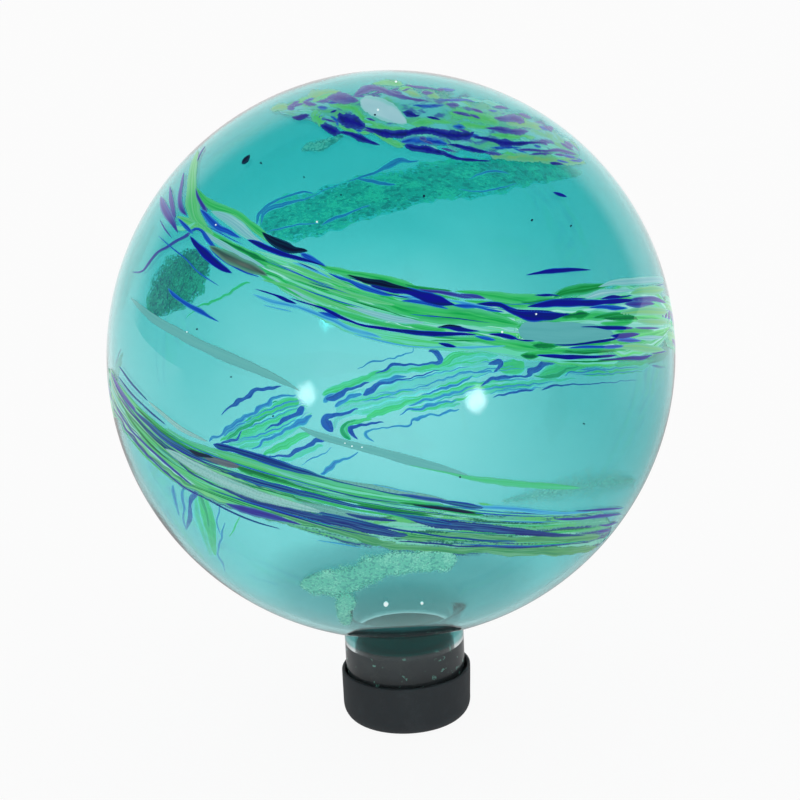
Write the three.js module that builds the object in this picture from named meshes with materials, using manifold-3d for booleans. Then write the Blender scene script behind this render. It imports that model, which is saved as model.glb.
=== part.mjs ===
// Garden gazing ball: a hollow blown-glass ball with an open neck, coloured trails of glass
// melted flush into its skin, a rubber plug in the neck and a rubber boot over the neck's end.
// Millimetres, +Z up. The origin is the centre of the boot's foot; the photographed side faces -Y.

import * as THREE from 'three';
import { mergeVertices } from 'three/addons/utils/BufferGeometryUtils.js';
import Module from 'manifold-3d';

// Ball and neck
const ballDiameter = 254;
const ballWall = 2.5;
const neckDiameter = 55;
const neckWall = 4.5;
const neckDrop = 41.2;
const neckFillet = 5;
const neckLipRound = 1.2;

// Rubber plug inside the neck
const plugLength = 34.4;
const plugTaper = 0.7;
const plugEdgeRound = 1.5;

// Rubber boot over the neck's end
const bootHeight = 24.7;
const bootWall = 1.6;
const bootFootDepth = 6;
const bootFootFillet = 7.5;
const bootRimRound = 0.6;

// Coloured trails
const trailThickness = 0.9;
const trailTipWidth = 1;
const trailSpacing = 15;

// Fits and cutting
const fitClearance = 0.3;
const cutOverrun = 2;

// Facets
const ballSegments = 48;
const hollowSegments = 36;
const rubberSegments = 40;
const filletSteps = 4;
const roundSteps = 2;

const ballRadius = ballDiameter / 2;
const hollowRadius = ballRadius - ballWall;
const neckRadius = neckDiameter / 2;
const neckBoreRadius = neckRadius - neckWall;
const neckEnd = bootFootDepth + fitClearance;
const ballCentre = neckEnd + neckDrop + ballRadius;

const COLOURS = {
  teal: 0x4fb9b8,
  green: 0x49c85a,
  navy: 0x14148c,
  blue: 0x2b2fa6,
  pale: 0xb4dcd8,
  dark: 0x1a2420,
  mint: 0x6fd6b0,
  rubber: 0x3b4145,
};

// Each trail is a spindle laid on the ball: its colour, its full span in degrees seen from the
// ball's centre, and the [azimuth, latitude] places in degrees that its spine passes through.
// Azimuth 0 is the photographed side and grows towards +X; latitude grows towards the top.
const TRAILS = [
  { name: 'crown_pale_chip', colour: 'pale', span: 6, path: [[-22, 74.5], [-4, 72], [9, 68.5]] },
  { name: 'crown_left_trail', colour: 'green', span: 7, path: [[-70, 63], [-54, 68], [-42, 73]] },
  { name: 'crown_right_trail', colour: 'green', span: 5, path: [[18, 67.5], [34, 65.5], [54, 61.5]] },
  {
    name: 'crown_navy_trail',
    colour: 'navy',
    span: 4.6,
    path: [[-36, 65], [-20, 64], [-4, 62], [12, 60], [34, 56.5], [56, 52]],
  },
  {
    name: 'upper_green_trail',
    colour: 'green',
    span: 4,
    path: [[-78, 45], [-62, 40.5], [-44, 36.5], [-29, 33], [-19, 30], [-8, 26], [6, 23], [18, 20.5]],
  },
  { name: 'upper_pale_trail', colour: 'pale', span: 3.8, path: [[-51, 42.6], [-42, 41.8], [-33, 39.4]] },
  {
    name: 'upper_navy_trail',
    colour: 'navy',
    span: 2.8,
    path: [[-62, 35.5], [-48, 32], [-36, 28.6], [-24, 24.6]],
  },
  { name: 'upper_dark_trail', colour: 'dark', span: 2.8, path: [[-28, 38.2], [-22, 36.8], [-14, 34.4]] },
  {
    name: 'right_navy_trail',
    colour: 'navy',
    span: 3,
    path: [[-9, 31.2], [7, 28], [24, 24.4], [38, 21.6], [55, 18], [79, 11]],
  },
  { name: 'right_pale_trail', colour: 'pale', span: 4.4, path: [[27, 17.6], [39, 15.4], [52, 12.4]] },
  {
    name: 'long_pale_trail',
    colour: 'pale',
    span: 2.2,
    path: [[-68, 20], [-51, 18], [-34, 16], [-23, 13], [-17, 10]],
  },
  {
    name: 'long_green_trail',
    colour: 'green',
    span: 2.2,
    path: [[-14, 3], [4, -3], [20, -9.5], [40, -16]],
  },
  {
    name: 'lower_navy_trail',
    colour: 'navy',
    span: 2.2,
    path: [[-36, -1.6], [-24, -3.2], [-12, -5.8], [0, -9], [14, -13]],
  },
  {
    name: 'lower_green_trail',
    colour: 'green',
    span: 3,
    path: [[-78, 5.5], [-62, 2], [-50, -1.6], [-38, -5.6], [-24, -7.8], [-8, -11.2], [12, -17], [34, -22]],
  },
  {
    name: 'lower_pale_trail',
    colour: 'pale',
    span: 2.8,
    path: [[-52, -6.4], [-38, -10.2], [-24, -12.4], [-10, -15.4]],
  },
  {
    name: 'lower_blue_trail',
    colour: 'blue',
    span: 2.8,
    path: [[-36, -14.4], [-19, -16.8], [-4, -19.6], [14, -23.4], [30, -27], [48, -31]],
  },
  {
    name: 'back_green_trail',
    colour: 'green',
    span: 4,
    path: [[144, -14], [160, -21.5], [172, -28], [184, -33], [197, -36]],
  },
  {
    name: 'back_navy_trail',
    colour: 'navy',
    span: 3,
    path: [[166, -15], [178, -20.5], [192, -25.5], [212, -29.5], [235, -34]],
  },
  {
    name: 'back_speckled_trail',
    colour: 'dark',
    span: 8,
    path: [[111, 37], [133, 34], [155, 30.5], [176, 27], [196, 23.5], [222, 19.5]],
  },
  { name: 'left_speckled_trail', colour: 'dark', span: 6, path: [[236, 15], [225, 6], [215, -5]] },
  { name: 'mint_patch', colour: 'mint', span: 10, path: [[-36, -47], [-18, -49], [6, -44]] },
];

const wasm = await Module();
wasm.setup();

// Turns a closed geometry into a solid that can be joined and cut.
function toSolid(geometry) {
  const bare = geometry.clone();
  bare.deleteAttribute('normal');
  bare.deleteAttribute('uv');
  const merged = mergeVertices(bare);
  return new wasm.Manifold(
    new wasm.Mesh({
      numProp: 3,
      vertProperties: new Float32Array(merged.attributes.position.array),
      triVerts: new Uint32Array(merged.index.array),
    }),
  );
}

// Turns a cut solid back into a geometry.
function toGeometry(solid) {
  const mesh = solid.getMesh();
  const geometry = new THREE.BufferGeometry();
  geometry.setAttribute('position', new THREE.BufferAttribute(mesh.vertProperties, mesh.numProp));
  geometry.setIndex(new THREE.BufferAttribute(mesh.triVerts, 1));
  geometry.computeVertexNormals();
  return geometry;
}

// Spins an outline of [radius, height] points about the Z axis.
function spin(outline, segments) {
  const points = outline.map(([radius, height]) => new THREE.Vector2(radius, height));
  return new THREE.LatheGeometry(points, segments).rotateX(Math.PI / 2);
}

// Points of an arc in an outline, its angles in radians from the outline's radius axis.
function arc(centreRadius, centreHeight, radius, from, to, steps) {
  const points = [];
  for (let step = 0; step <= steps; step += 1) {
    const angle = from + ((to - from) * step) / steps;
    points.push([centreRadius + radius * Math.cos(angle), centreHeight + radius * Math.sin(angle)]);
  }
  return points;
}

// The outline of a ball that runs down through a fillet into a neck, from the neck up to the pole.
function ballOnNeck(radius, neck, fillet, segments) {
  const filletCentreRadius = neck + fillet;
  const filletDrop = Math.sqrt((radius + fillet) ** 2 - filletCentreRadius ** 2);
  const meeting = Math.atan2(-filletDrop, filletCentreRadius);
  const rows = Math.round((segments * (Math.PI / 2 - meeting)) / (2 * Math.PI));
  return [
    ...arc(filletCentreRadius, ballCentre - filletDrop, fillet, Math.PI, Math.PI + meeting, filletSteps),
    ...arc(0, ballCentre, radius, meeting, Math.PI / 2, rows).slice(1, -1),
    [0, ballCentre + radius],
  ];
}

function globeOutside() {
  const lip = arc(
    neckRadius - neckLipRound,
    neckEnd + neckLipRound,
    neckLipRound,
    -Math.PI / 2,
    0,
    roundSteps,
  );
  return spin(
    [[0, neckEnd], ...lip, ...ballOnNeck(ballRadius, neckRadius, neckFillet, ballSegments)],
    ballSegments,
  );
}

function globeHollow() {
  const mouth = neckEnd - cutOverrun;
  return spin(
    [
      [0, mouth],
      [neckBoreRadius, mouth],
      ...ballOnNeck(hollowRadius, neckBoreRadius, neckFillet + neckWall, hollowSegments),
    ],
    hollowSegments,
  );
}

function directionAt([azimuth, latitude]) {
  const turn = THREE.MathUtils.degToRad(azimuth);
  const rise = THREE.MathUtils.degToRad(latitude);
  return new THREE.Vector3(
    Math.cos(rise) * Math.sin(turn),
    -Math.cos(rise) * Math.cos(turn),
    Math.sin(rise),
  );
}

// The corners of a trail's cross-section, in shares of its half width, outer face first.
const outerShares = [1, 0, -1];
const innerShares = [-1, 0, 1];
const corners = outerShares.length + innerShares.length;

// The corners that close a trail's end, three to a triangle.
const endTriangles = [
  [0, 5, 1],
  [1, 5, 4],
  [1, 4, 2],
  [2, 4, 3],
];

// One spindle in the ball's skin, from `depth` below the surface to `proud` above it, and
// `grow` larger than the trail all round.
function spindle(trail, depth, proud, grow) {
  const curve = new THREE.CatmullRomCurve3(trail.path.map(directionAt), false, 'centripetal');
  const steps = Math.max(roundSteps * 2, Math.round((curve.getLength() * ballRadius) / trailSpacing));
  const fullHalf = (THREE.MathUtils.degToRad(trail.span) * ballRadius) / 2;
  const tipHalf = trailTipWidth / 2;
  const positions = [];
  for (let step = 0; step <= steps; step += 1) {
    const along = step / steps;
    const normal = curve.getPointAt(along).normalize();
    const forward = curve.getTangentAt(along).projectOnPlane(normal).normalize();
    const side = new THREE.Vector3().crossVectors(normal, forward);
    const reach = step === 0 ? -grow : step === steps ? grow : 0;
    const half = tipHalf + (fullHalf - tipHalf) * Math.sqrt(Math.sin(Math.PI * along)) + grow;
    const addCorner = (share, radius) => {
      const point = normal
        .clone()
        .multiplyScalar(ballRadius)
        .addScaledVector(side, share * half)
        .addScaledVector(forward, reach)
        .setLength(radius);
      positions.push(point.x, point.y, point.z + ballCentre);
    };
    outerShares.forEach((share) => addCorner(share, ballRadius + proud));
    innerShares.forEach((share) => addCorner(share, ballRadius - depth));
  }
  const index = [];
  for (let step = 0; step < steps; step += 1) {
    for (let corner = 0; corner < corners; corner += 1) {
      const here = step * corners + corner;
      const beside = step * corners + ((corner + 1) % corners);
      index.push(here, beside, here + corners, beside, beside + corners, here + corners);
    }
  }
  const last = steps * corners;
  for (const [first, second, third] of endTriangles) {
    index.push(first, second, third);
    index.push(last + first, last + third, last + second);
  }
  const geometry = new THREE.BufferGeometry();
  geometry.setAttribute('position', new THREE.Float32BufferAttribute(positions, 3));
  geometry.setIndex(index);
  geometry.computeVertexNormals();
  return geometry;
}

function glassGlobe() {
  let solid = toSolid(globeOutside()).subtract(toSolid(globeHollow()));
  for (const trail of TRAILS) {
    const pocket = spindle(trail, trailThickness + fitClearance, cutOverrun, fitClearance);
    solid = solid.subtract(toSolid(pocket));
  }
  return toGeometry(solid);
}

function neckPlug() {
  const bottomRadius = neckBoreRadius - fitClearance;
  const topRadius = bottomRadius - plugTaper;
  const top = neckEnd + plugLength;
  const edge = arc(
    topRadius - plugEdgeRound,
    top - plugEdgeRound,
    plugEdgeRound,
    0,
    Math.PI / 2,
    roundSteps,
  );
  return spin([[0, neckEnd], [bottomRadius, neckEnd], ...edge, [0, top]], rubberSegments);
}

function rubberBoot() {
  const inside = neckRadius + fitClearance;
  const outside = inside + bootWall;
  const foot = arc(
    outside - bootFootFillet,
    bootFootFillet,
    bootFootFillet,
    -Math.PI / 2,
    0,
    filletSteps,
  );
  const rimHeight = bootHeight - bootRimRound;
  return spin(
    [
      [0, 0],
      ...foot,
      ...arc(outside - bootRimRound, rimHeight, bootRimRound, 0, Math.PI / 2, roundSteps),
      ...arc(inside + bootRimRound, rimHeight, bootRimRound, Math.PI / 2, Math.PI, roundSteps),
      [inside, bootFootDepth],
      [0, bootFootDepth],
    ],
    rubberSegments,
  );
}

function piece(name, geometry, colour, finish) {
  const material = new THREE.MeshStandardMaterial({ color: COLOURS[colour], metalness: 0, ...finish });
  const mesh = new THREE.Mesh(geometry, material);
  mesh.name = name;
  return mesh;
}

const glassFinish = { roughness: 0.05, transparent: true, opacity: 0.35 };
const trailFinish = { roughness: 0.12 };
const rubberFinish = { roughness: 0.85 };

const gazingBall = new THREE.Group();
gazingBall.add(piece('glass_globe', glassGlobe(), 'teal', glassFinish));
for (const trail of TRAILS) {
  gazingBall.add(piece(trail.name, spindle(trail, trailThickness, 0, 0), trail.colour, trailFinish));
}
gazingBall.add(piece('neck_plug', neckPlug(), 'rubber', rubberFinish));
gazingBall.add(piece('rubber_boot', rubberBoot(), 'rubber', rubberFinish));

export default gazingBall;
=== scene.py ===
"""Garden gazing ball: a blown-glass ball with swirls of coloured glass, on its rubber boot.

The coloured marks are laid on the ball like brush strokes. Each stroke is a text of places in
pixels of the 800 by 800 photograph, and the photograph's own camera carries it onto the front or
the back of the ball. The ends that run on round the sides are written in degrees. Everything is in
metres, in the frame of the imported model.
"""

import logging
import math
import random
from collections.abc import Iterator
from dataclasses import KW_ONLY, dataclass, replace
from enum import Enum
from functools import cache

import bmesh
import bpy
from mathutils import Matrix, Vector, noise


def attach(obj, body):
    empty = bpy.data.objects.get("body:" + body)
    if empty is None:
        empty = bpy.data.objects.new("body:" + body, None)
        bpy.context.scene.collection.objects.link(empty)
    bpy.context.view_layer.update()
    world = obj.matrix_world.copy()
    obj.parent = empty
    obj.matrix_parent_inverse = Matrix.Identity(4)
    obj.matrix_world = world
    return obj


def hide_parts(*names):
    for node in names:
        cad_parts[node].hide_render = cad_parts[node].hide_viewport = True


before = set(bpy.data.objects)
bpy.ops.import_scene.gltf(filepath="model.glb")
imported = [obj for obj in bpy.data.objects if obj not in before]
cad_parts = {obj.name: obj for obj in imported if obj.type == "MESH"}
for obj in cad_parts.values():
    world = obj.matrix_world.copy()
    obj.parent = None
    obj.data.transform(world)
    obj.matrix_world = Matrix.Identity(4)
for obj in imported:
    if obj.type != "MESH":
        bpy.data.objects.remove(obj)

LOG = logging.getLogger("gazing_ball")
MM = 0.001

BALL_RADIUS = 127 * MM
BALL_CENTRE = Vector((0, 0, 174.5 * MM))

Colour = tuple[float, float, float, float]
Point = tuple[float, ...]

DEGREES_ROUND = 57
CURVE_PARTS = 12
FEWEST_PLACES = 6
HAIR_END = 0.3
SEED_SHAPE = ((-0.5, 0.7), (0.0, 1.0), (0.5, 0.7))
BED_STEP = 2.0
THREAD_DRIFT = 0.06
THREAD_END = 0.06
FAR_THICKNESS = 0.3 * MM


def srgb(red: float, green: float, blue: float) -> Colour:
    """Turns a colour read as 0 to 255 into the linear colour that a shader takes.

    Args:
        red: The red part.
        green: The green part.
        blue: The blue part.

    Returns:
        The linear colour, opaque.
    """
    linear = []
    for part in (red, green, blue):
        share = part / 255
        linear.append(share / 12.92 if share <= 0.04045 else ((share + 0.055) / 1.055) ** 2.4)
    return (linear[0], linear[1], linear[2], 1.0)


def deselect() -> None:
    """Leaves nothing selected, in object mode."""
    if bpy.context.object and bpy.context.object.mode != "OBJECT":
        bpy.ops.object.mode_set(mode="OBJECT")
    bpy.ops.object.select_all(action="DESELECT")


def select_only(pieces: list[bpy.types.Object]) -> bpy.types.Object:
    """Selects these pieces and makes the first one active.

    Args:
        pieces: The pieces to select.

    Returns:
        The active piece.
    """
    deselect()
    for piece in pieces:
        piece.select_set(True)
    bpy.context.view_layer.objects.active = pieces[0]
    return pieces[0]


def outline(t: float, start: float, end: float) -> float:
    """Eases from 0 at start to 1 at end.

    Args:
        t: The place.
        start: Where the easing starts.
        end: Where it ends.

    Returns:
        The eased share, from 0 to 1.
    """
    share = min(max((t - start) / (end - start), 0.0), 1.0)
    return share * share * (3 - 2 * share)


class Side(Enum):
    """Where a stroke's points are measured.

    FRONT and BACK are pixels on the near and the far wall of the ball. ROUND is degrees on the
    ball itself: azimuth from the photographed side, growing to the right, then latitude.
    """

    FRONT = "front"
    BACK = "back"
    ROUND = "round"


@dataclass(frozen=True)
class PhotoCamera:
    """The photograph's camera, aimed at the middle of the ball.

    Lengths are in metres and pixels are the photograph's own, from its top left corner.
    """

    distance: float = 1.2
    elevation: float = math.radians(16.28)
    roll: float = math.radians(2.7)
    centre_x: float = 391.0
    centre_y: float = 354.5
    ball_pixels: float = 284.6
    frame_pixels: float = 800.0
    sensor: float = 36.0
    rim_share: float = 0.992
    sees_to: float = 20.0

    @property
    def back(self) -> Vector:
        """The direction from the ball to the camera."""
        return Vector((0, -math.cos(self.elevation), math.sin(self.elevation)))

    @property
    def level_up(self) -> Vector:
        """The camera's up direction before it is rolled."""
        return Vector((0, math.sin(self.elevation), math.cos(self.elevation)))

    @property
    def focal_pixels(self) -> float:
        """The focal length in pixels, from the size of the ball's outline."""
        reach = math.sqrt(self.distance**2 - BALL_RADIUS**2)
        return self.ball_pixels * reach / BALL_RADIUS

    def ray(self, x: float, y: float) -> Vector:
        """Gives the direction in which the camera sees a pixel.

        Args:
            x: The pixel's column.
            y: The pixel's row.

        Returns:
            The unit direction.
        """
        level = Matrix.Rotation(-self.roll, 2) @ Vector((x - self.centre_x, self.centre_y - y))
        sideways = Vector((level.x, 0, 0)) / self.focal_pixels
        return (-self.back + sideways + self.level_up * level.y / self.focal_pixels).normalized()

    def on_ball(self, x: float, y: float, side: Side) -> Vector:
        """Carries a pixel onto the ball.

        Args:
            x: The pixel's column, or the azimuth in degrees.
            y: The pixel's row, or the latitude in degrees.
            side: The wall that the pixel is seen on, or ROUND for degrees.

        Returns:
            The unit direction from the ball's middle to that place.
        """
        if side is Side.ROUND:
            turn, rise = math.radians(x), math.radians(y)
            level = math.cos(rise)
            return Vector((level * math.sin(turn), -level * math.cos(turn), math.sin(rise)))
        offset = Vector((x - self.centre_x, y - self.centre_y))
        reach = self.ball_pixels * self.rim_share
        if offset.length > reach:
            offset = offset.normalized() * reach
        ray = self.ray(self.centre_x + offset.x, self.centre_y + offset.y)
        eye = self.back * self.distance
        along = -eye.dot(ray)
        half = math.sqrt(max(along**2 - self.distance**2 + BALL_RADIUS**2, 0.0))
        return (eye + ray * (along + (half if side is Side.BACK else -half))).normalized()

    def place(self) -> None:
        """Adds the camera and looks through it."""
        deselect()
        eye = BALL_CENTRE + self.back * self.distance
        bpy.ops.object.camera_add(location=eye)
        camera = bpy.context.object
        camera.name = "photo_camera"
        turn = Matrix((Vector((1, 0, 0)), self.level_up, self.back)).transposed()
        camera.matrix_world = (
            Matrix.Translation(eye) @ turn.to_4x4() @ Matrix.Rotation(-self.roll, 4, "Z")
        )
        camera.data.sensor_width = self.sensor
        camera.data.lens = self.focal_pixels * self.sensor / self.frame_pixels
        camera.data.shift_x = (self.frame_pixels / 2 - self.centre_x) / self.frame_pixels
        camera.data.shift_y = (self.centre_y - self.frame_pixels / 2) / self.frame_pixels
        camera.data.clip_end = self.sees_to
        bpy.context.scene.camera = camera


CAMERA = PhotoCamera()


class Wire:
    """A socket whose numbers can be worked with as plain Python numbers can."""

    def __init__(self, board: "Board", socket: bpy.types.NodeSocket) -> None:
        """Wraps a socket of a board."""
        self.board = board
        self.socket = socket

    def _math(self, operation: str, first: "Wire | float", second: "Wire | float") -> "Wire":
        """Adds one Math node."""
        return self.board.node("ShaderNodeMath", {"operation": operation}, {0: first, 1: second})

    def __add__(self, other: "Wire | float") -> "Wire":
        """Adds to the socket."""
        return self._math("ADD", self, other)

    __radd__ = __add__

    def __sub__(self, other: "Wire | float") -> "Wire":
        """Takes from the socket."""
        return self._math("SUBTRACT", self, other)

    def __rsub__(self, other: float) -> "Wire":
        """Takes the socket from a number."""
        return self._math("SUBTRACT", other, self)

    def __mul__(self, other: "Wire | float") -> "Wire":
        """Multiplies the socket."""
        return self._math("MULTIPLY", self, other)

    __rmul__ = __mul__

    def __abs__(self) -> "Wire":
        """Drops the socket's sign."""
        return self._math("ABSOLUTE", self, 0.0)

    def at_most(self, limit: float) -> "Wire":
        """Holds the socket to a limit."""
        return self._math("MINIMUM", self, limit)

    def ease(self, start: float, end: float) -> "Wire":
        """Eases from 0 where the socket reads start to 1 where it reads end."""
        settings = {"interpolation_type": "SMOOTHSTEP"}
        return self.board.node(
            "ShaderNodeMapRange", settings, {"Value": self, "From Min": start, "From Max": end}
        )


class Board:
    """The node tree of one material or of the world."""

    def __init__(self, tree: bpy.types.NodeTree) -> None:
        """Empties a node tree to build on."""
        self.tree = tree
        self.tree.nodes.clear()

    def node(
        self,
        kind: str,
        settings: dict[str, object] | None = None,
        sockets: dict[int | str, object] | None = None,
        output: int | str = 0,
    ) -> Wire:
        """Adds a node.

        Args:
            kind: The node's type.
            settings: Its own settings, set first.
            sockets: Values or wires for its inputs, by name or number.
            output: The output to hand back.

        Returns:
            The wire of that output.
        """
        made = self.tree.nodes.new(kind)
        for name, value in (settings or {}).items():
            setattr(made, name, value)
        for key, value in (sockets or {}).items():
            if isinstance(value, Wire):
                self.tree.links.new(value.socket, made.inputs[key])
            else:
                made.inputs[key].default_value = value
        return Wire(self, made.outputs[output] if len(made.outputs) else None)

    def mix(self, share: Wire | float, first: Wire | Colour, second: Wire | Colour) -> Wire:
        """Mixes two colours.

        Args:
            share: How much of the second colour shows.
            first: The first colour.
            second: The second colour.

        Returns:
            The mixed colour.
        """
        return self.node(
            "ShaderNodeMix", {"data_type": "RGBA"}, {0: share, 6: first, 7: second}, output=2
        )

    def place(self) -> Wire:
        """Gives the place on the piece, in metres."""
        return self.node("ShaderNodeTexCoord", output="Object")

    def noise(self, place: Wire, size: float, detail: float = 3.0, twist: float = 0.0) -> Wire:
        """Gives soft noise.

        Args:
            place: Where it is read.
            size: The size of one blotch, in the units of the place.
            detail: How many finer layers it has.
            twist: How far it is distorted.

        Returns:
            A number from 0 to 1, mostly near 0.5.
        """
        sockets = {"Vector": place, "Scale": 1 / size, "Detail": detail, "Distortion": twist}
        return self.node("ShaderNodeTexNoise", {}, sockets)

    def streaks(self, flat: Wire, across: float, length: float, layer: float) -> Wire:
        """Gives noise that is drawn out along a UV map.

        Args:
            flat: The UV map, from 0 to 1 across and in centimetres along.
            across: How many streaks lie side by side.
            length: How long a streak is, in centimetres.
            layer: Which of the many such noises it is.

        Returns:
            A number from 0 to 1, mostly near 0.5.
        """
        sockets = {
            "Vector": flat,
            "Scale": (across, 1 / length, 1.0),
            "Location": (layer * 1.7, layer * 2.3, layer * 1.1),
        }
        return self.noise(self.node("ShaderNodeMapping", {}, sockets), 1.0, 3, 0.25)

    def bump(self, height: Wire, depth: float) -> Wire:
        """Gives the normal of a surface that rises by depth where the height reads 1."""
        return self.node(
            "ShaderNodeBump", {}, {"Height": height, "Distance": depth, "Strength": 1.0}
        )

    def surface(self, sockets: dict[int | str, object]) -> None:
        """Adds the Principled shader and links it to the output."""
        shader = self.node("ShaderNodeBsdfPrincipled", {}, sockets)
        self.node("ShaderNodeOutputMaterial", {}, {"Surface": shader})


def new_material(name: str) -> tuple[bpy.types.Material, Board]:
    """Makes an empty material to build on.

    Args:
        name: The material's name.

    Returns:
        The material and the board of its nodes.
    """
    material = bpy.data.materials.new(name)
    material.use_nodes = True
    return material, Board(material.node_tree)


TEAL_BEHIND = (0.46, 0.84, 0.85, 1.0)
GLASS_INDEX = 1.45
NOISE_SPREAD = 0.32


def noise_level(share: float) -> float:
    """Gives the level above which about this share of a soft noise lies."""
    return 0.5 + NOISE_SPREAD * (0.5 - share)


@dataclass(frozen=True)
class BallGlass:
    """Clear blown glass, tinted teal: palest on the poles that face the camera and the backdrop,
    deeper at the sides, deepest at the top, and darker towards the neck.
    """

    name: str = "blown_teal_glass"
    # thin is only the palest tint, laid on the poles that face the camera and the backdrop; the
    # wall there is as thick as elsewhere.
    thin: Colour = (0.49, 0.86, 0.87, 1.0)
    pale: Colour = (0.37, 0.78, 0.79, 1.0)
    deep: Colour = (0.12, 0.66, 0.665, 1.0)
    side: Colour = (0.24, 0.66, 0.67, 1.0)
    shoulder: Colour = (0.13, 0.42, 0.43, 1.0)
    throat: Colour = (0.06, 0.29, 0.29, 1.0)
    neck: Colour = (0.66, 0.72, 0.72, 1.0)
    deep_from: float = BALL_CENTRE.z - 10 * MM
    deep_to: float = BALL_CENTRE.z + 100 * MM
    pale_pole_from: float = 75 * MM
    pale_pole_to: float = 122 * MM
    side_from: float = 10 * MM
    side_to: float = 125 * MM
    shoulder_from: float = BALL_CENTRE.z - 104 * MM
    shoulder_to: float = BALL_CENTRE.z - 117 * MM
    throat_from: float = BALL_CENTRE.z - 119 * MM
    throat_to: float = BALL_CENTRE.z - 125 * MM
    neck_from: float = BALL_CENTRE.z - 134 * MM
    neck_to: float = BALL_CENTRE.z - 136 * MM
    roughness: float = 0.0
    index: float = GLASS_INDEX
    streak: float = 70 * MM
    streak_reach: float = 60 * MM
    ripple: float = 28 * MM
    ripple_depth: float = 0.05 * MM

    def make(self) -> bpy.types.Material:
        """Builds the material."""
        material, board = new_material(self.name)
        place = board.place()
        cloud = board.noise(place, self.streak, 3, 0.6) - 0.5
        across, depth, level = (
            board.node("ShaderNodeSeparateXYZ", {}, {"Vector": place}, axis) for axis in "XYZ"
        )
        wander = cloud * self.streak_reach
        thin = (abs(depth) + wander * 0.5).ease(self.pale_pole_from, self.pale_pole_to)
        tint = board.mix(thin, self.pale, self.thin)
        tint = board.mix((across + wander).ease(self.side_from, self.side_to), tint, self.side)
        tint = board.mix((level + wander).ease(self.deep_from, self.deep_to), tint, self.deep)
        low = level + cloud * self.streak_reach * 0.1
        tint = board.mix(low.ease(self.shoulder_from, self.shoulder_to), tint, self.shoulder)
        tint = board.mix(level.ease(self.throat_from, self.throat_to), tint, self.throat)
        tint = board.mix(level.ease(self.neck_from, self.neck_to), tint, self.neck)
        board.surface(
            {
                "Base Color": tint,
                "Roughness": self.roughness,
                "IOR": self.index,
                "Transmission Weight": 1.0,
                "Normal": board.bump(board.noise(place, self.ripple, 1), self.ripple_depth),
            }
        )
        return material


@dataclass(frozen=True)
class MeltedGlass:
    """What the coloured glasses share, which lie on the ball as strips or as grains.

    The attribute "body" is 1 along a strip's spine and 0 at its border. On the front the border
    thins out; on the far wall, which is seen through the ball, it turns teal. A strip's UV map
    runs across it from 0 to 1 and along it in centimetres.
    """

    name: str
    slot: str
    _: KW_ONLY
    edge: Colour = TEAL_BEHIND
    soft_edge: float = 0.08
    grain_size: float = 0.8 * MM
    far: bool = False
    # glow: emission in the glass's own colour, painted light that stands in for light passing
    # through the coloured glass.
    glow: float = 0.35
    roughness: float = 0.0

    def marks(self, board: Board, body: Wire) -> tuple[Wire, Wire, Wire | float]:
        """Draws the glass.

        Args:
            board: The board of the material.
            body: The attribute "body".

        Returns:
            Its colour, how solid it is towards its border, and how much it hides on the front.
        """
        raise NotImplementedError

    def make(self) -> bpy.types.Material:
        """Builds the material."""
        material, board = new_material(self.name)
        body = board.node("ShaderNodeAttribute", {"attribute_name": "body"}, output="Fac")
        colour, solid, cover = self.marks(board, body)
        # The emission is painted light: the glass glows in its own colour.
        sockets = {"Roughness": self.roughness, "IOR": GLASS_INDEX, "Emission Strength": self.glow}
        if self.far:
            colour = board.mix(1 - solid, colour, self.edge)
        else:
            sockets["Alpha"] = solid * cover
        board.surface({**sockets, "Base Color": colour, "Emission Color": colour})
        return material


@dataclass(frozen=True)
class TrailGlass(MeltedGlass):
    """Coloured glass, drawn out into a trail with finer streaks inside it."""

    core: Colour
    streak: Colour
    light: Colour | None = None
    _: KW_ONLY
    streaks_across: float = 4.0
    streak_length: float = 2.4
    streak_share: float = 0.5
    streak_soft: float = 0.12
    finer: float = 1.7
    rim: Colour | None = None
    rim_width: float = 0.5
    rim_uneven: float = 0.8
    ragged: float = 0.0
    ragged_size: float = 2.0 * MM
    opacity: float = 1.0
    grain: float = 0.0

    def marks(self, board: Board, body: Wire) -> tuple[Wire, Wire, Wire | float]:
        """Draws the streaks, the rim and the grains."""
        flat = board.node("ShaderNodeTexCoord", output="UV")
        fine = board.streaks(flat, self.streaks_across, self.streak_length, 0)
        thin = board.streaks(flat, self.streaks_across * self.finer, self.streak_length, 5)
        if self.ragged > 0:
            uneven = board.noise(board.place(), self.ragged_size, 3, 0.6) - 0.5
            body = body + uneven * self.ragged
        middle = noise_level(self.streak_share)
        shown = fine.ease(middle - self.streak_soft, middle + self.streak_soft)
        colour = board.mix(shown, self.core, self.streak)
        if self.light:
            colour = board.mix(thin.ease(0.5, 0.68), colour, self.light)
        if self.rim:
            border = body + (thin - 0.5) * self.rim_uneven
            colour = board.mix(1 - border.ease(0.05, self.rim_width), colour, self.rim)
        ragged = body + (fine - 0.5) * self.soft_edge * 1.4
        solid = ragged.ease(0.0, self.soft_edge)
        if self.grain > 0:
            dots = board.noise(board.place(), self.grain_size, 1).ease(0.5, 0.62) * self.grain
            solid = solid * (1 - dots * (1 - body * 0.4))
        return colour, solid, self.opacity


@dataclass(frozen=True)
class Thread:
    """One glass among the many threads of a veil: its colour, its share and its fineness."""

    colour: Colour
    share: float
    across: float
    length: float
    soft: float = 0.05


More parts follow.
